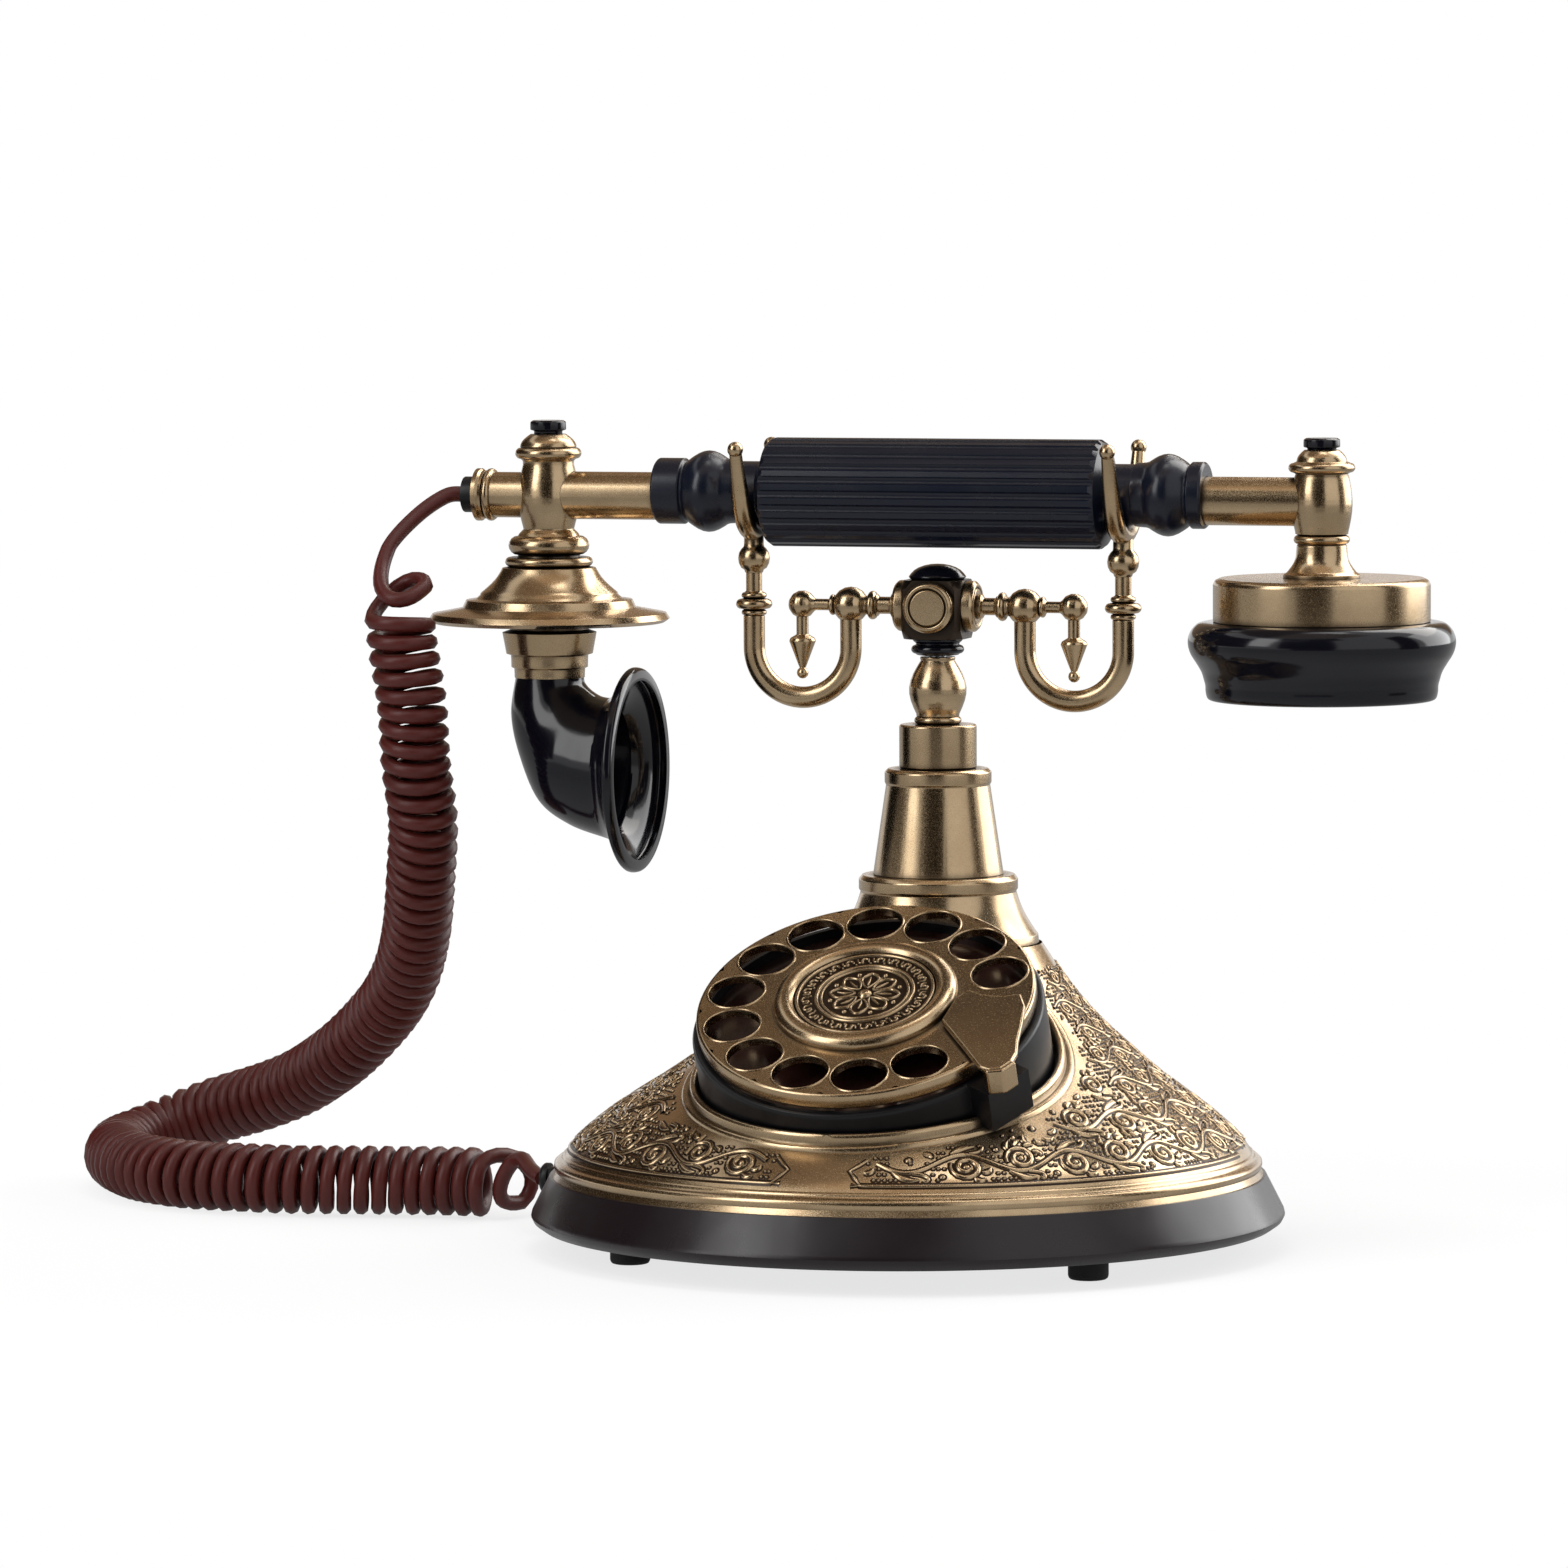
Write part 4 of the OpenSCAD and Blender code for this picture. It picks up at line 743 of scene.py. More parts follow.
def scroll_bay(hand, kind):
    """One bay of the scroll, 15 by 13 mm: strokes as points and widths, berries as spot and radius.

    Hand is 1 or -1, which mirrors the bay, and kind picks its small irregularities.
    """
    chance = random.Random(kind)
    stem = [(x, hand * 3.1 * math.cos(math.pi * x / BAY)) for x in (-7.5, -5, -2.5, 0, 2.5, 5, 7.5)]
    strokes = [(stroke_points(stem), (0.62, 0.7, 0.75, 0.7, 0.62))]
    heart = Vector((0.5, -hand * 1.3, 0))
    spiral = []
    for i in range(23):
        angle = math.radians(158 + 24 * i)
        radius = 4.2 - 0.135 * i
        spiral.append(heart + Vector((radius * math.cos(angle), hand * radius * math.sin(angle), 0)))
    strokes.append((spiral, (0.45, 0.8, 0.85, 0.75, 0.6)))
    for angle in (222, 258, 294, 330):
        a = math.radians(angle + chance.uniform(-5, 5))
        tip = 6.3 + chance.uniform(-0.3, 0.3)
        leaf = [heart + Vector((r * math.cos(t), hand * r * math.sin(t), 0))
                for r, t in ((4.4, a), (5.2, a + 0.08), (6.0, a + 0.24), (tip, a + 0.42))]
        strokes.append((stroke_points([(v.x, v.y) for v in leaf], 7), (0.35, 0.85, 0.8, 0.2)))
    crest = [(-3.4, 3.2), (-1.6, 4.5), (0.8, 5.6), (3.4, 5.7)]
    strokes.append((stroke_points([(x, hand * y) for x, y in crest], 8), (0.3, 0.9, 0.85, 0.2)))
    tendril = [(1.6, 3.4), (4.2, 3.9), (5.6, 5.1), (5.2, 6.2), (4.3, 5.6)]
    strokes.append((stroke_points([(x, hand * y) for x, y in tendril], 9), (0.5, 0.55, 0.5, 0.4)))
    berries = [(heart, 0.95), (Vector((-5.8, -hand * 4.6, 0)), 0.8)]
    # The ground between the strokes is filled with seeds, wherever one has room.
    drawn = [point for points, widths in strokes for point in points] + [spot for spot, size in berries]
    for k in range(SEED_COLUMNS * SEED_ROWS):
        x = (k % SEED_COLUMNS + 0.5) * 1.5 - BAY / 2 + chance.uniform(-0.3, 0.3)
        seed = Vector((x, (k // SEED_COLUMNS + 0.5) * 1.9 - 6.6, 0))
        if min((seed - point).length for point in drawn) > SEED_ROOM:
            berries.append((seed, SEED_R))
    return strokes, berries


BAYS = [[scroll_bay(hand, kind) for kind in range(3)] for hand in (1, -1)]
print("strokes in a bay:", len(BAYS[0][0][0]))

# %% [markdown]
# The rows of ornament start above the foot bead. Two bold rows are followed by finer ones up to the collar.
# The front under the dial stays smooth, and so do a strip round the dial and one under the collar. The left
# and right halves meet the smooth strip in points.

# %% Lay the ornament
# Middle of the row in millimetres up the slope, and size of its bays as a share of the drawn bay
ROWS = [(16.4, 1.0), (29.8, 1.0), (42.4, 0.86), (53.2, 0.76), (63.0, 0.72), (72.4, 0.7), (81.2, 0.62)]
FRONT = math.radians(-90)
LIFT, GROOVE_LIFT = 0.55 * MM, 0.14 * MM
GROOVE_RIM = 0.5
LOWEST, HIGHEST = 9.6 * MM, SLOPE - 4 * MM  # between the foot bead and the collar
DIAL_ROOM = 7.4 * MM  # bare brass round the dial's housing
FRONT_HALF, FRONT_POINT, FRONT_TOP = 9.5 * MM, 15 * MM, 40 * MM  # the smooth front: half width, point and top


def is_free(angle, slope):
    """Whether ornament may lie there."""
    clear_of_front = abs((angle - FRONT + math.pi) % (2 * math.pi) - math.pi) * bell_radius(slope)
    point_width = FRONT_HALF + abs(slope - FRONT_POINT) * 0.75
    near_front = slope < FRONT_TOP and clear_of_front < point_width
    return (not near_front and from_dial(on_bell(angle, slope)) > HOUSING_R + DIAL_ROOM
            and LOWEST < slope < HIGHEST)


def side_name(angle):
    """Which of the three pieces of ornament that direction belongs to."""
    turned = math.degrees((angle - FRONT + 2 * math.pi) % (2 * math.pi))
    return "right" if turned < 120 else "rear" if turned < 240 else "left"


bright = {name: bmesh.new() for name in ("left", "right", "rear")}
grooves = {name: bmesh.new() for name in ("left", "right", "rear")}
for row, (row_up, size) in enumerate(ROWS):
    radius = bell_radius(row_up * MM)
    bays = 2 * round(math.pi * radius / (BAY * size * MM))
    for bay in range(bays):
        centre = FRONT + 2 * math.pi * (bay + 0.5) / bays
        strokes, berries = BAYS[(bay + row) % 2][(bay * 5 + row) % 3]
        stretch = 2 * math.pi * radius / bays / (BAY * MM)

        def spread(point):
            return centre + point.x * stretch * MM / radius, (row_up + point.y * size) * MM

        def place(point, height):
            return on_bell(*spread(point), height)

        def allowed(points):
            return all(is_free(*spread(point)) for point in points)

        name = side_name(centre)
        for points, widths in strokes:
            if allowed(points):
                lay_stroke(grooves[name], points, widths, GROOVE_LIFT, GROOVE_RIM, place)
                lay_stroke(bright[name], points, widths, LIFT, 0, place)
        for spot, berry_r in berries:
            if allowed([spot]):
                sides = 10 if berry_r > 0.5 else 6
                lay_berry(grooves[name], spot, berry_r + GROOVE_RIM, GROOVE_LIFT, place, sides)
                lay_berry(bright[name], spot, berry_r, LIFT, place, sides)


def border(side):
    """The line that frames the ornament on that side: points as direction and way up the slope."""
    foot = [(math.radians(a), 9.0) for a in range(90, 5, -3)]
    tip = [(math.radians(7.6), 9.0), (math.radians(5.4), 13.6), (math.radians(8.2), 17.6)]
    return [(FRONT + side * turned, up * MM) for turned, up in foot + tip]


for side, name in ((1, "right"), (-1, "left")):
    corners = border(side)
    line = [Vector((angle * BELL_R / MM, slope / MM, 0)) for angle, slope in corners]
    fine = []
    for a, b in zip(line, line[1:]):
        pieces = max(1, round((b - a).length / 2.5))
        fine += [a.lerp(b, i / pieces) for i in range(pieces)]
    fine.append(line[-1])

    def place(point, height):
        return on_bell(point.x * MM / BELL_R, point.y * MM, height)

    lay_stroke(grooves[name], fine, (0.5, 0.5), GROOVE_LIFT, 0.55, place)
    lay_stroke(bright[name], fine, (0.5, 0.5), 0.4 * MM, 0, place)

for name in bright:
    for bm, label, finish, slot in ((bright[name], "ornament_", antique_brass, "antique_brass"),
                                    (grooves[name], "grooves_", groove_patina, "dark_bronze")):
        turn_outwards(bm, 75)
        made = new_object(label + name, bm, finish)
        settle(made, "base", slot)
        print(f"{made.name}: {len(made.data.polygons)} faces")

# %% [markdown]
# ## Dial
# The finger wheel is pressed from sheet: a flat plate with an edge turned down and a small raised lip
# round each hole. Each hole has a sector of the plate to itself. The points of its rings are sent straight
# out from the middle of the hole to the sector's border, so the sectors meet point to point. Twelve
# Boolean cuts would be shorter to write, but they leave long thin faces, which show in a metal that
# mirrors.

# %% Finger wheel
WHEEL_R = 46.5
HUB_R = 25.35
HOLE_CIRCLE = 36.93
HOLE_R = 7.58
HOLE_STEP = 25.9
HOLE_FIRST = -53
WHEEL_TOP, WHEEL_UNDER = 1.1, -1.1
PLATE_R = WHEEL_R - 0.9
PLATE_IN = HUB_R - 2
turns_round = angles(192)


def on_dial(x, y, z):
    """A point of the dial in millimetres, across it, up it and off it."""
    return DIAL_PLACE @ (Vector((x, y, z)) * MM)


def dial_circle(radius, height, turns=turns_round):
    """A row of points round the dial's axis."""
    return [on_dial(radius * math.cos(a), radius * math.sin(a), height) for a in turns]


def sector_border(dx, dy):
    """Where a ray from the hole's middle leaves its sector. x points away from the dial's middle."""
    steps = []
    half = math.radians(HOLE_STEP / 2)
    for sign in (1, -1):
        # The straight sides are the lines y = +-x tan(half) through the dial's middle.
        along_side = dy - sign * dx * math.tan(half)
        if abs(along_side) > 1e-9:
            steps.append(sign * HOLE_CIRCLE * math.tan(half) / along_side)
    for radius in (PLATE_IN, PLATE_R):
        b = HOLE_CIRCLE * dx
        c = HOLE_CIRCLE ** 2 - radius ** 2
        if b * b - c > 0:
            steps += [-b - math.sqrt(b * b - c), -b + math.sqrt(b * b - c)]
    step = min(t for t in steps if t > 1e-6)
    return HOLE_CIRCLE + dx * step, dy * step


# Section of a hole from the plate's underside to its top, as distance from the hole's side and height
LIP = [(0, WHEEL_UNDER), (0, 1.0), (0.08, 1.3), (0.25, 1.42), (0.45, 1.38), (0.62, 1.2), (0.69, WHEEL_TOP)]
rays = [(math.cos(a), math.sin(a)) for a in angles(48, 0.5)]
bm = bmesh.new()
for hole in range(12):
    turn = math.radians(HOLE_FIRST - hole * HOLE_STEP)
    c, q = math.cos(turn), math.sin(turn)

    def spun(x, y, z):
        return on_dial(x * c - y * q, x * q + y * c, z)

    rows = [[spun(*sector_border(dx, dy), WHEEL_UNDER) for dx, dy in rays]]
    for out, height in LIP:
        away = HOLE_R + out
        rows.append([spun(HOLE_CIRCLE + dx * away, dy * away, height) for dx, dy in rays])
    rows.append([spun(*sector_border(dx, dy), WHEEL_TOP) for dx, dy in rays])
    skin(bm, rows)
# The plate without holes, between the last hole and the first
first = math.radians(HOLE_FIRST + HOLE_STEP / 2)
last = math.radians(HOLE_FIRST - 11.5 * HOLE_STEP + 360)
blank = [first + (last - first) * i / 24 for i in range(25)]
for height in (WHEEL_UNDER, WHEEL_TOP):
    skin(bm, [dial_circle(r, height, blank) for r in (PLATE_IN, 30, 36, 42, PLATE_R)], closed=False)
# The turned-down edge, and the plate under the hub
EDGE = [(PLATE_R, WHEEL_UNDER), (WHEEL_R - 0.95, -3.1), (WHEEL_R - 0.6, -3.3), (WHEEL_R - 0.15, -3.15),
        (WHEEL_R, -2.8), (WHEEL_R, 0.1), (WHEEL_R - 0.12, 0.6), (WHEEL_R - 0.42, 0.96), (PLATE_R, WHEEL_TOP)]
skin(bm, [dial_circle(r, z) for r, z in EDGE])
for height in (WHEEL_UNDER, WHEEL_TOP):
    skin(bm, [dial_circle(r, height) for r in (3.0, PLATE_IN)])
bmesh.ops.remove_doubles(bm, verts=bm.verts, dist=MERGE)
turn_outwards(bm, 50)
wheel = new_object("wheel_pressed", bm, antique_brass)
settle(wheel, "dial_rotor", "antique_brass", "finger_wheel")
print("wheel faces:", len(wheel.data.polygons))

# %% [markdown]
# ## The hub and its medallion
# The hub is turned: a round torus, a groove, and two fine lines that frame a ring. The grounds between
# them are left dark. A flower with eight petals fills the middle, and small scrolls and berries fill the
# ring round it. The section is written as rows of radius and height. The flower and the scrolls are
# strokes again, laid on the hub this time.

# %% Hub and medallion
GROUND = 2.6  # height of the grounds between the raised lines
HUB = [(HUB_R, WHEEL_TOP), (HUB_R, 1.9), (25.1, 2.7), (24.3, 3.6), (23.2, 4.15), (22.2, 4.3), (21.2, 4.15),
       (20.2, 3.6), (19.6, 3.0), (19.35, 2.55), (19.2, 2.9), (18.9, 3.15), (18.5, 3.15), (18.2, 2.9),
       (18.1, GROUND), (13.9, GROUND), (13.8, 2.9), (13.5, 3.15), (13.1, 3.15), (12.8, 2.9), (12.7, 2.65),
       (12.4, 2.65), (12.3, 2.9), (12.1, 3.05), (11.8, 3.05), (11.6, 2.9), (11.5, GROUND), (0.4, GROUND)]
bm = bmesh.new()
skin(bm, [dial_circle(r, z) for r, z in HUB])
turn_outwards(bm, 70)
hub = new_object("hub_turned", bm, antique_brass, groove_patina)
DARK_ROWS = (8, 9, 14, 20, 26)  # rows of faces that lie in a groove or on a ground
for face in hub.data.polygons:
    if face.index // len(turns_round) in DARK_ROWS:
        face.material_index = 1
settle(hub, "dial_rotor", "antique_brass", "hub_ring")


def on_hub(point, height):
    """Puts a flat point of the medallion on the hub's ground."""
    return on_dial(point.x, point.y, GROUND + height / MM)


def turned_points(points, degrees):
    """The points turned round the middle."""
    return [Matrix.Rotation(math.radians(degrees), 3, "Z") @ point for point in points]


bm = bmesh.new()
petal = stroke_points([(2.6, 0), (4.4, 1.5), (7.2, 2.3), (9.7, 0), (7.2, -2.3), (4.4, -1.5), (2.6, 0)], 24)
vein = stroke_points([(3.6, 0), (5.4, 0.15), (7.6, 0)], 6)
ray = stroke_points([(5.2, 0), (6.6, 0.1), (8.2, 0)], 5)
for i in range(8):
    lay_stroke(bm, turned_points(petal, 45 * i), (0.3, 0.42, 0.5, 0.42, 0.3), 0.5 * MM, 0, on_hub)
    lay_stroke(bm, turned_points(vein, 45 * i), (0.2, 0.45, 0.15), 0.45 * MM, 0, on_hub)
    lay_berry(bm, turned_points([Vector((9.6, 0, 0))], 45 * i + 22.5)[0], 0.75, 0.5 * MM, on_hub)
    lay_stroke(bm, turned_points(ray, 45 * i + 22.5), (0.25, 0.35, 0.2), 0.4 * MM, 0, on_hub)
lay_berry(bm, Vector((0, 0, 0)), 2.0, 0.9 * MM, on_hub, sides=24)
scroll = stroke_points(
    [(15.1, -1.35), (16.6, -1.5), (17.2, -0.4), (16.4, 0.4), (15.5, 0.1), (15.6, 1.2), (17, 1.5)], 18)
for i in range(24):
    lay_stroke(bm, turned_points(scroll, 15 * i), (0.25, 0.38, 0.42, 0.38, 0.25), 0.42 * MM, 0, on_hub)
    lay_berry(bm, turned_points([Vector((14.8, 0, 0))], 15 * i + 7.5)[0], 0.36, 0.4 * MM, on_hub, sides=8)
turn_outwards(bm, 75)
medallion = new_object("medallion", bm, antique_brass)
settle(medallion, "dial_rotor", "antique_brass")
print("medallion faces:", len(medallion.data.polygons))

# %% [markdown]
# ## Forks
# Each fork grows out of a turned knuckle on top of its hook. It divides into two prongs that pass the
# waist of the handset with a third of a millimetre to spare, and thin out towards their round tips. A
# mirror modifier could make the second prong, but a loop over both hands is as short.

# %% Forks
HOOK_TOP = 184.3
WAIST_Z = 206.9
FORK_ASIDE = 53.2
OVAL = 1.12  # a prong is this much wider across than deep
KNUCKLE = [(0, 0), (2.5, 0), (2.7, 0.7), (3.6, 1.3), (4.25, 2.6), (4.45, 4.1), (4.2, 5.5), (3.5, 6.6),
           (2.9, 7.2), (2.8, 8), (2.7, 11.4), (0, 11.4)]
PRONG = [(0, -11.3, 2.6), (4.3, -10.6, 2.5), (8.2, -8.4, 2.45), (11.0, -4.6, 2.4), (13.0, -0.6, 2.2),
         (14.7, 3.4, 2.0), (16.3, 7.6, 1.75), (17.7, 11.8, 1.55)]


def rod(bm, points, sides=20):
    """A round rod through points that carry their own radius, closed at both ends."""
    rows = []
    for i, (place, radius) in enumerate(points):
        ahead = (points[min(i + 1, len(points) - 1)][0] - points[max(i - 1, 0)][0]).normalized()
        u = Vector((1, 0, 0))
        v = ahead.cross(u).normalized()
        rows.append([place + (u * math.cos(a) * OVAL + v * math.sin(a)) * radius for a in angles(sides)])
    made = skin(bm, rows)
    for row in (made[0], made[-1]):
        bm.faces.new(row)


for side, name in ((-1, "left"), (1, "right")):
    x = BASE_X + side * FORK_ASIDE * MM
    bm = bmesh.new()
    skin(bm, [[Vector((x + r * MM * math.cos(a), COLUMN_Y + r * MM * math.sin(a), (HOOK_TOP + z) * MM))
               for a in turns_round[::4]] for r, z in KNUCKLE])
    path = [smooth_point(PRONG, (len(PRONG) - 1) * i / 28) for i in range(29)]
    for hand in (-1, 1):
        rod(bm, [(Vector((x, COLUMN_Y + hand * y * MM, (WAIST_Z + z) * MM)), r * MM) for y, z, r in path])
        ball = Matrix.Translation((x, COLUMN_Y + hand * 17.9 * MM, (WAIST_Z + 12.4) * MM))
        bmesh.ops.create_uvsphere(bm, u_segments=24, v_segments=14, radius=2.2 * MM, matrix=ball)
    bmesh.ops.remove_doubles(bm, verts=bm.verts, dist=0.001 * MM)
    turn_outwards(bm, 50)
    fork = new_object("fork_forged_" + name, bm, antique_brass)
    settle(fork, "cradle", "antique_brass", "fork_" + name)
print("forks done")

# %% [markdown]
# ## Mouthpiece horn
# The horn is moulded. Its rings stand across a bend, each between a point on the inside of the bend and
# one on the outside, and after the bend they open into the flare with its rolled rim. A curve with a bevel
# could make the bend as well, but rings let its two sides be drawn apart, and the tube's width follows
# from them.

# %% Horn
HORN_X = BASE_X - 113.4 * MM
HORN_TOP = 154.0
HORN_IN = [(9.65, 0), (9.9, -1.4), (11.4, -3.2), (14, -4.9), (16.4, -5.5), (18.6, -5.6)]
HORN_OUT = [(-9.65, 0), (-10.9, -10.5), (-8.4, -22), (-2.4, -35), (6.6, -41.6), (17.4, -45.2)]
FLARE = [(0.18, 2.2), (0.5, 4.4), (0.82, 5.6), (1, 6.4), (0.99, 8), (0.92, 8.6)]
FLARE_TILT = 0.05  # the flare sinks by this much as it runs out
HORN_RIM = 28.8
HORN_WALL = 1.8
WALL_AT_BEND, WALL_AT_RIM = 0.4, 1.0  # what the flare's wall has more than the bend's


def horn_ring(a, b, radius):
    """A ring of the horn across the line from a to b, which are sideways and height in millimetres."""
    centre = (a + b) / 2
    u = (a - b).normalized()
    points = []
    for q in turns_round[::2]:
        wide, deep = radius * math.cos(q), radius * math.sin(q)
        points.append(Vector((HORN_X + (centre.x + wide * u.x) * MM, COLUMN_Y + deep * MM,
                              (HORN_TOP + centre.y + wide * u.y) * MM)))
    return points


def flat(points, t):
    """A smooth point between flat points, as a flat vector."""
    return smooth_point([(x, y, 0) for x, y in points], t).to_2d()


last = len(HORN_IN) - 1
outer, inner = [], []
for i in range(8 * last + 1):
    a, b = flat(HORN_IN, i / 8), flat(HORN_OUT, i / 8)
    outer.append(horn_ring(a, b, (a - b).length / 2))
    inner.append(horn_ring(a, b, (a - b).length / 2 - HORN_WALL))
mid = (flat(HORN_IN, last) + flat(HORN_OUT, last)) / 2
mouth = (flat(HORN_IN, last) - flat(HORN_OUT, last)).length / 2
upwards = Vector((0, 1))
for i in range(1, 26):
    opened, run = flat([(0, 0)] + FLARE, i / 25 * len(FLARE))
    centre = mid + Vector((run, -run * FLARE_TILT))
    radius = mouth + (HORN_RIM - mouth) * opened
    thicker = max(0, min(1, (i - 12) / 6))
    wall = WALL_AT_BEND + HORN_WALL + (WALL_AT_RIM - WALL_AT_BEND) * thicker
    outer.append(horn_ring(centre + upwards, centre - upwards, radius))
    inner.append(horn_ring(centre + upwards, centre - upwards, radius - wall))
bm = bmesh.new()
skin(bm, outer + inner[::-1], loop=True)
turn_outwards(bm, 50)
horn = new_object("horn_moulded", bm, black_gloss)
settle(horn, "handset", "black_gloss", "mouth_horn")
print("horn faces:", len(horn.data.polygons))

# %% [markdown]
# ## Finger stop
# The stop is a small shield of thick brass. It starts at the hub, crosses the wheel just above it, and its
# outer end is bent down over the wheel's edge to the black lug that carries it. It is drawn as a flat
# outline and pushed up to its thickness. A bevel then rounds all its edges at once, which is quicker than
# modelling the rounds.

# %% Finger stop
STOP = [(24.6, -12.6), (32.5, -23.4), (40.2, -34.2), (43.2, -35.6), (46.4, -34.9), (48.6, -31.4),
        (49.0, -27.0), (48.0, -21.5), (47.2, -13.0), (46.2, -5.0), (43.6, 1.0), (38.6, -0.6), (33.0, 0.0),
        (28.6, 2.4), (26.0, -2.4)]
STOP_UNDER = 1.6
STOP_THICK = 2.0
TIP = [(40.6, -33.4), (42.6, -36.6), (47.0, -35.8), (49.8, -31.4), (46.4, -29.6)]
bm = bmesh.new()
bottom = [bm.verts.new(on_dial(x, y, STOP_UNDER)) for x, y in STOP]
shield = bm.faces.new(bottom)
pulled = bmesh.ops.extrude_face_region(bm, geom=[shield])["geom"]
upper = [v for v in pulled if isinstance(v, bmesh.types.BMVert)]
bmesh.ops.translate(bm, vec=DIAL_PLACE.to_3x3() @ Vector((0, 0, STOP_THICK * MM)), verts=upper)
for row in skin(bm, [[on_dial(x, y, z) for x, y in TIP] for z in (-4.1, 3.4)]):
    bm.faces.new(row)
bmesh.ops.recalc_face_normals(bm, faces=bm.faces)
bmesh.ops.bevel(bm, geom=[e for e in bm.edges if e.calc_face_angle(0) > 0.3], offset=0.7 * MM, segments=4,
                offset_type="OFFSET", profile=0.5, affect="EDGES", clamp_overlap=True, material=-1)
crisp(bm, 40)
stop = new_object("finger_stop_forged", bm, antique_brass)
stop.modifiers.new("shading", "WEIGHTED_NORMAL").keep_sharp = True
settle(stop, "base", "antique_brass", "finger_stop")

# %% [markdown]
# ## Ear cup
# The cup is turned from black phenolic: a bulging shoulder, a soft waist and a narrow foot round the dish.
# Its side is one smooth curve through the points of the section. A screw modifier would spin the same
# section, but rows of points let the helper for skins serve here too.

# %% Ear cup
EAR_X = BASE_X + 109.4 * MM
EAR_FACE = 151.0
CUP = [(0, 5.5), (10, 5.3), (20, 4.9), (24, 3.3), (27, 1.2), (28.6, 0.1), (30.2, -0.05), (31.4, 0.5),
       (31.9, 2.2), (32.0, 4.0), (32.4, 5.6), (33.1, 7.8), (34.5, 10.2), (36.0, 12.6), (36.75, 15.0),
       (36.7, 17.2), (35.9, 19.2), (34.3, 20.9), (32.4, 21.45), (29.6, 21.5), (24.3, 21.5)]
bm = bmesh.new()
cup_rows = []
for point in stroke_points(CUP, 100):
    radius, z = max(point.x, 0.01) * MM, (EAR_FACE + point.y) * MM
    cup_rows.append([Vector((EAR_X + radius * math.cos(a), COLUMN_Y + radius * math.sin(a), z))
                     for a in turns_round])
skin(bm, cup_rows)
turn_outwards(bm, 60)
cup = new_object("ear_cup_turned", bm, black_gloss)
settle(cup, "handset", "black_gloss", "ear_cup")
print("stop and cup done")

# %% [markdown]
# ## Handset cord
# The cord is one vinyl jacket, 4.4 mm thick, that is wound hot round a rod so that it keeps its curl. It is
# shown from end to end, so its length is that of the route: a lead from the mouthpiece, nearly ninety turns
# that hang and then lie on the table, and a short lead into the base. The axis of the curl is a curve
# through chosen points, and the turns are worked out round it by a loop.

# %% Cord route
CORD = 4.4 * MM
CURL = 20 * MM
TURN_PITCH = 5.0 * MM
TURN_POINTS = 20
LEAD_POINTS = 40


def on_table(points):
    """Points that are written in millimetres from the base's axis, as places in metres."""
    return [Vector((BASE_X + x * MM, y * MM, z * MM)) for x, y, z in points]


lead_top_way = on_table([
    (-138.2, 33, 205.4), (-143, 31, 205), (-149, 24, 200), (-154, 14, 192), (-155, 7, 184), (-153, 3, 177)])
curl_way = on_table([
    (-148, 3, 177), (-147, 3, 165), (-145, 5, 148), (-145, 8, 131), (-145, 14, 114), (-149, 23, 96),
    (-154, 34, 81), (-163, 48, 65), (-176, 62, 52), (-189, 73, 42), (-204, 86, 33), (-220, 96, 26),
    (-239, 104, 20), (-253, 103, 14.5), (-261, 93, 11), (-261, 78, 10.2), (-254, 60, 10.2), (-242, 43, 10.2),
    (-225, 30, 10.2), (-203, 25, 10.2), (-186, 25, 10.2), (-169, 28, 10.2), (-152, 31, 10.2),
    (-128, 31, 10.4)])
lead_base_way = on_table([(-128, 27, 13.5), (-123, 25, 18), (-118, 19, 19), (-112, 9, 17), (-106, 0, 16)])


def along(points, count):
    """Evenly counted points on the smooth curve through the points."""
    return [smooth_point(points, (len(points) - 1) * i / count) for i in range(count + 1)]


# %% [markdown]
# A screw modifier winds round a straight axis only, and this axis hangs and bends. So a direction to the
# side is carried along the axis without a twist, and the turns are counted round from it.

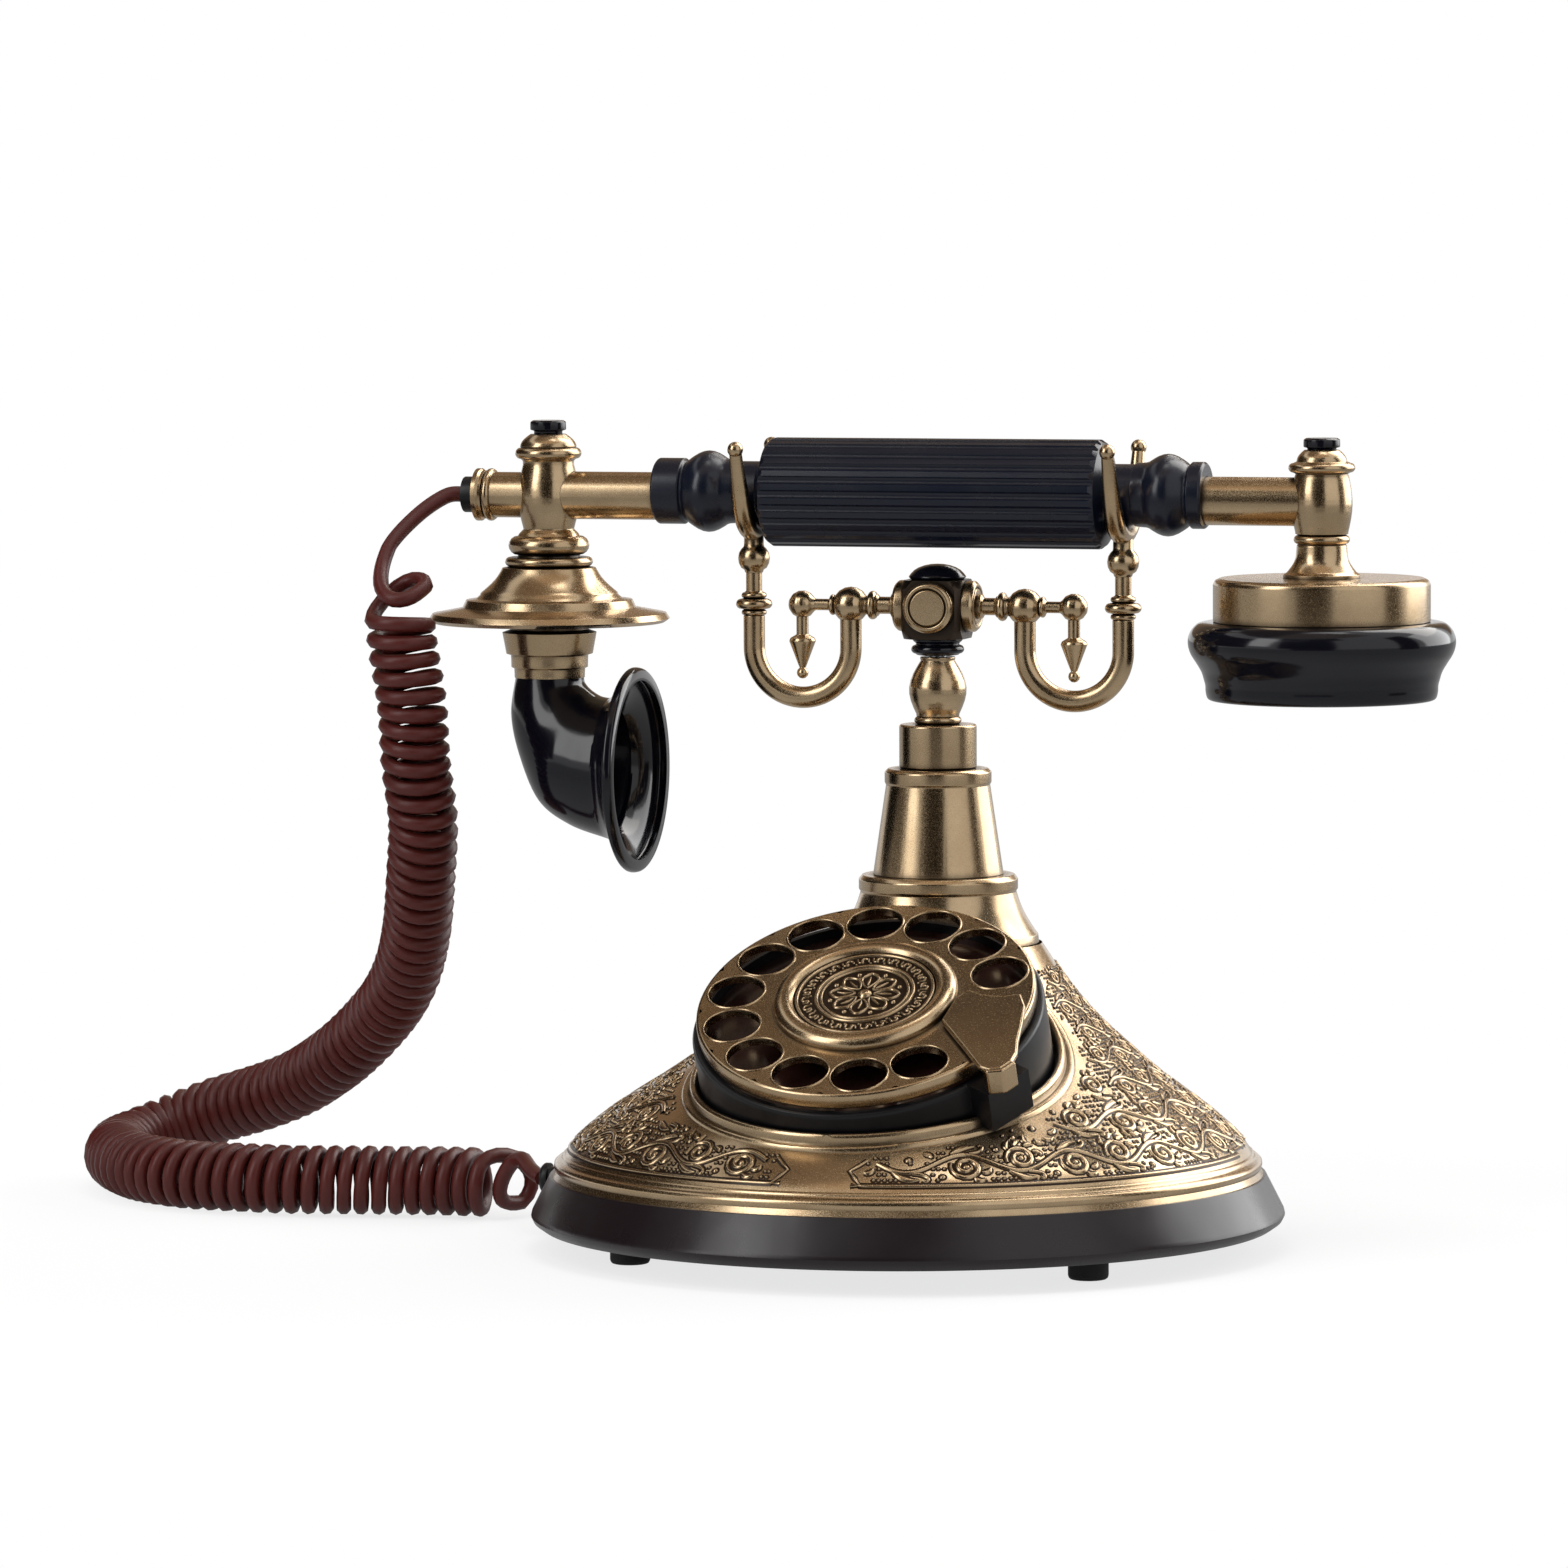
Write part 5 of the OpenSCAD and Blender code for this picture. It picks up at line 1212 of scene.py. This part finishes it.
# %% Wind the curl
axis_points = along(curl_way, 1200)
reach = [0.0]
for a, b in zip(axis_points, axis_points[1:]):
    reach.append(reach[-1] + (b - a).length)
turns = round(reach[-1] / TURN_PITCH) - 0.25
LOOSE_TURN = 9 * MM
curl_radius = (CURL - CORD) / 2
curl = []
side = Vector((-1, 0, 0))
at = 0
first_step = TURN_POINTS // 9
for step in range(first_step, int(turns * TURN_POINTS) + 1):
    turn = step / TURN_POINTS
    wanted = reach[-1] * turn / turns
    while at < len(reach) - 2 and reach[at + 1] < wanted:
        at += 1
    share = (wanted - reach[at]) / (reach[at + 1] - reach[at])
    centre = axis_points[at].lerp(axis_points[at + 1], min(1, share))
    heading = (axis_points[at + 1] - axis_points[at]).normalized()
    side = (side - side.dot(heading) * heading).normalized()
    forward = side.cross(heading)
    angle = 2 * math.pi * turn
    outwards = math.cos(angle) * side + math.sin(angle) * forward
    # The first turn stands up behind as a loose ring, and the last one lies open in front.
    lift = math.sin(math.pi * max(0, min(1, (turn - 0.3) / 0.8))) ** 2
    drop = math.sin(math.pi * max(0, min(1, (turn - turns + 0.95) / 0.8))) ** 2
    curl.append(centre + outwards * curl_radius + heading * LOOSE_TURN * (drop - lift))

cord_points = along(lead_top_way[:-1], LEAD_POINTS)[:-1] + curl + along(lead_base_way[1:], 24)
# Where a lead meets the curl, a few rounds of averaging turn the corner into a bend.
CORNER_REACH = 8
for _ in range(12):
    for corner in (LEAD_POINTS, LEAD_POINTS + len(curl)):
        for i in range(corner - CORNER_REACH, corner + CORNER_REACH + 1):
            cord_points[i] = (cord_points[i - 1] + 2 * cord_points[i] + cord_points[i + 1]) / 4
cord_length = sum((b - a).length for a, b in zip(cord_points, cord_points[1:]))
print(f"curl axis {reach[-1]:.3f} m, {turns:.1f} turns, cord {cord_length:.2f} m")

# %% [markdown]
# The jacket could be built ring by ring, but a curve with a round bevel does the same and closes both ends.

# %% Lay the cord
cord = sweep("handset_cord", cord_points, CORD / 2, 12)
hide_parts("cord_lead_top", "cord_coil", "cord_lead_base")
cord.data.materials.append(cord_vinyl)
print("cord triangles:", len(cord.data.polygons) * 2)
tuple(cord_points[-1])
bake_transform(cord)
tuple(cord_points[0])
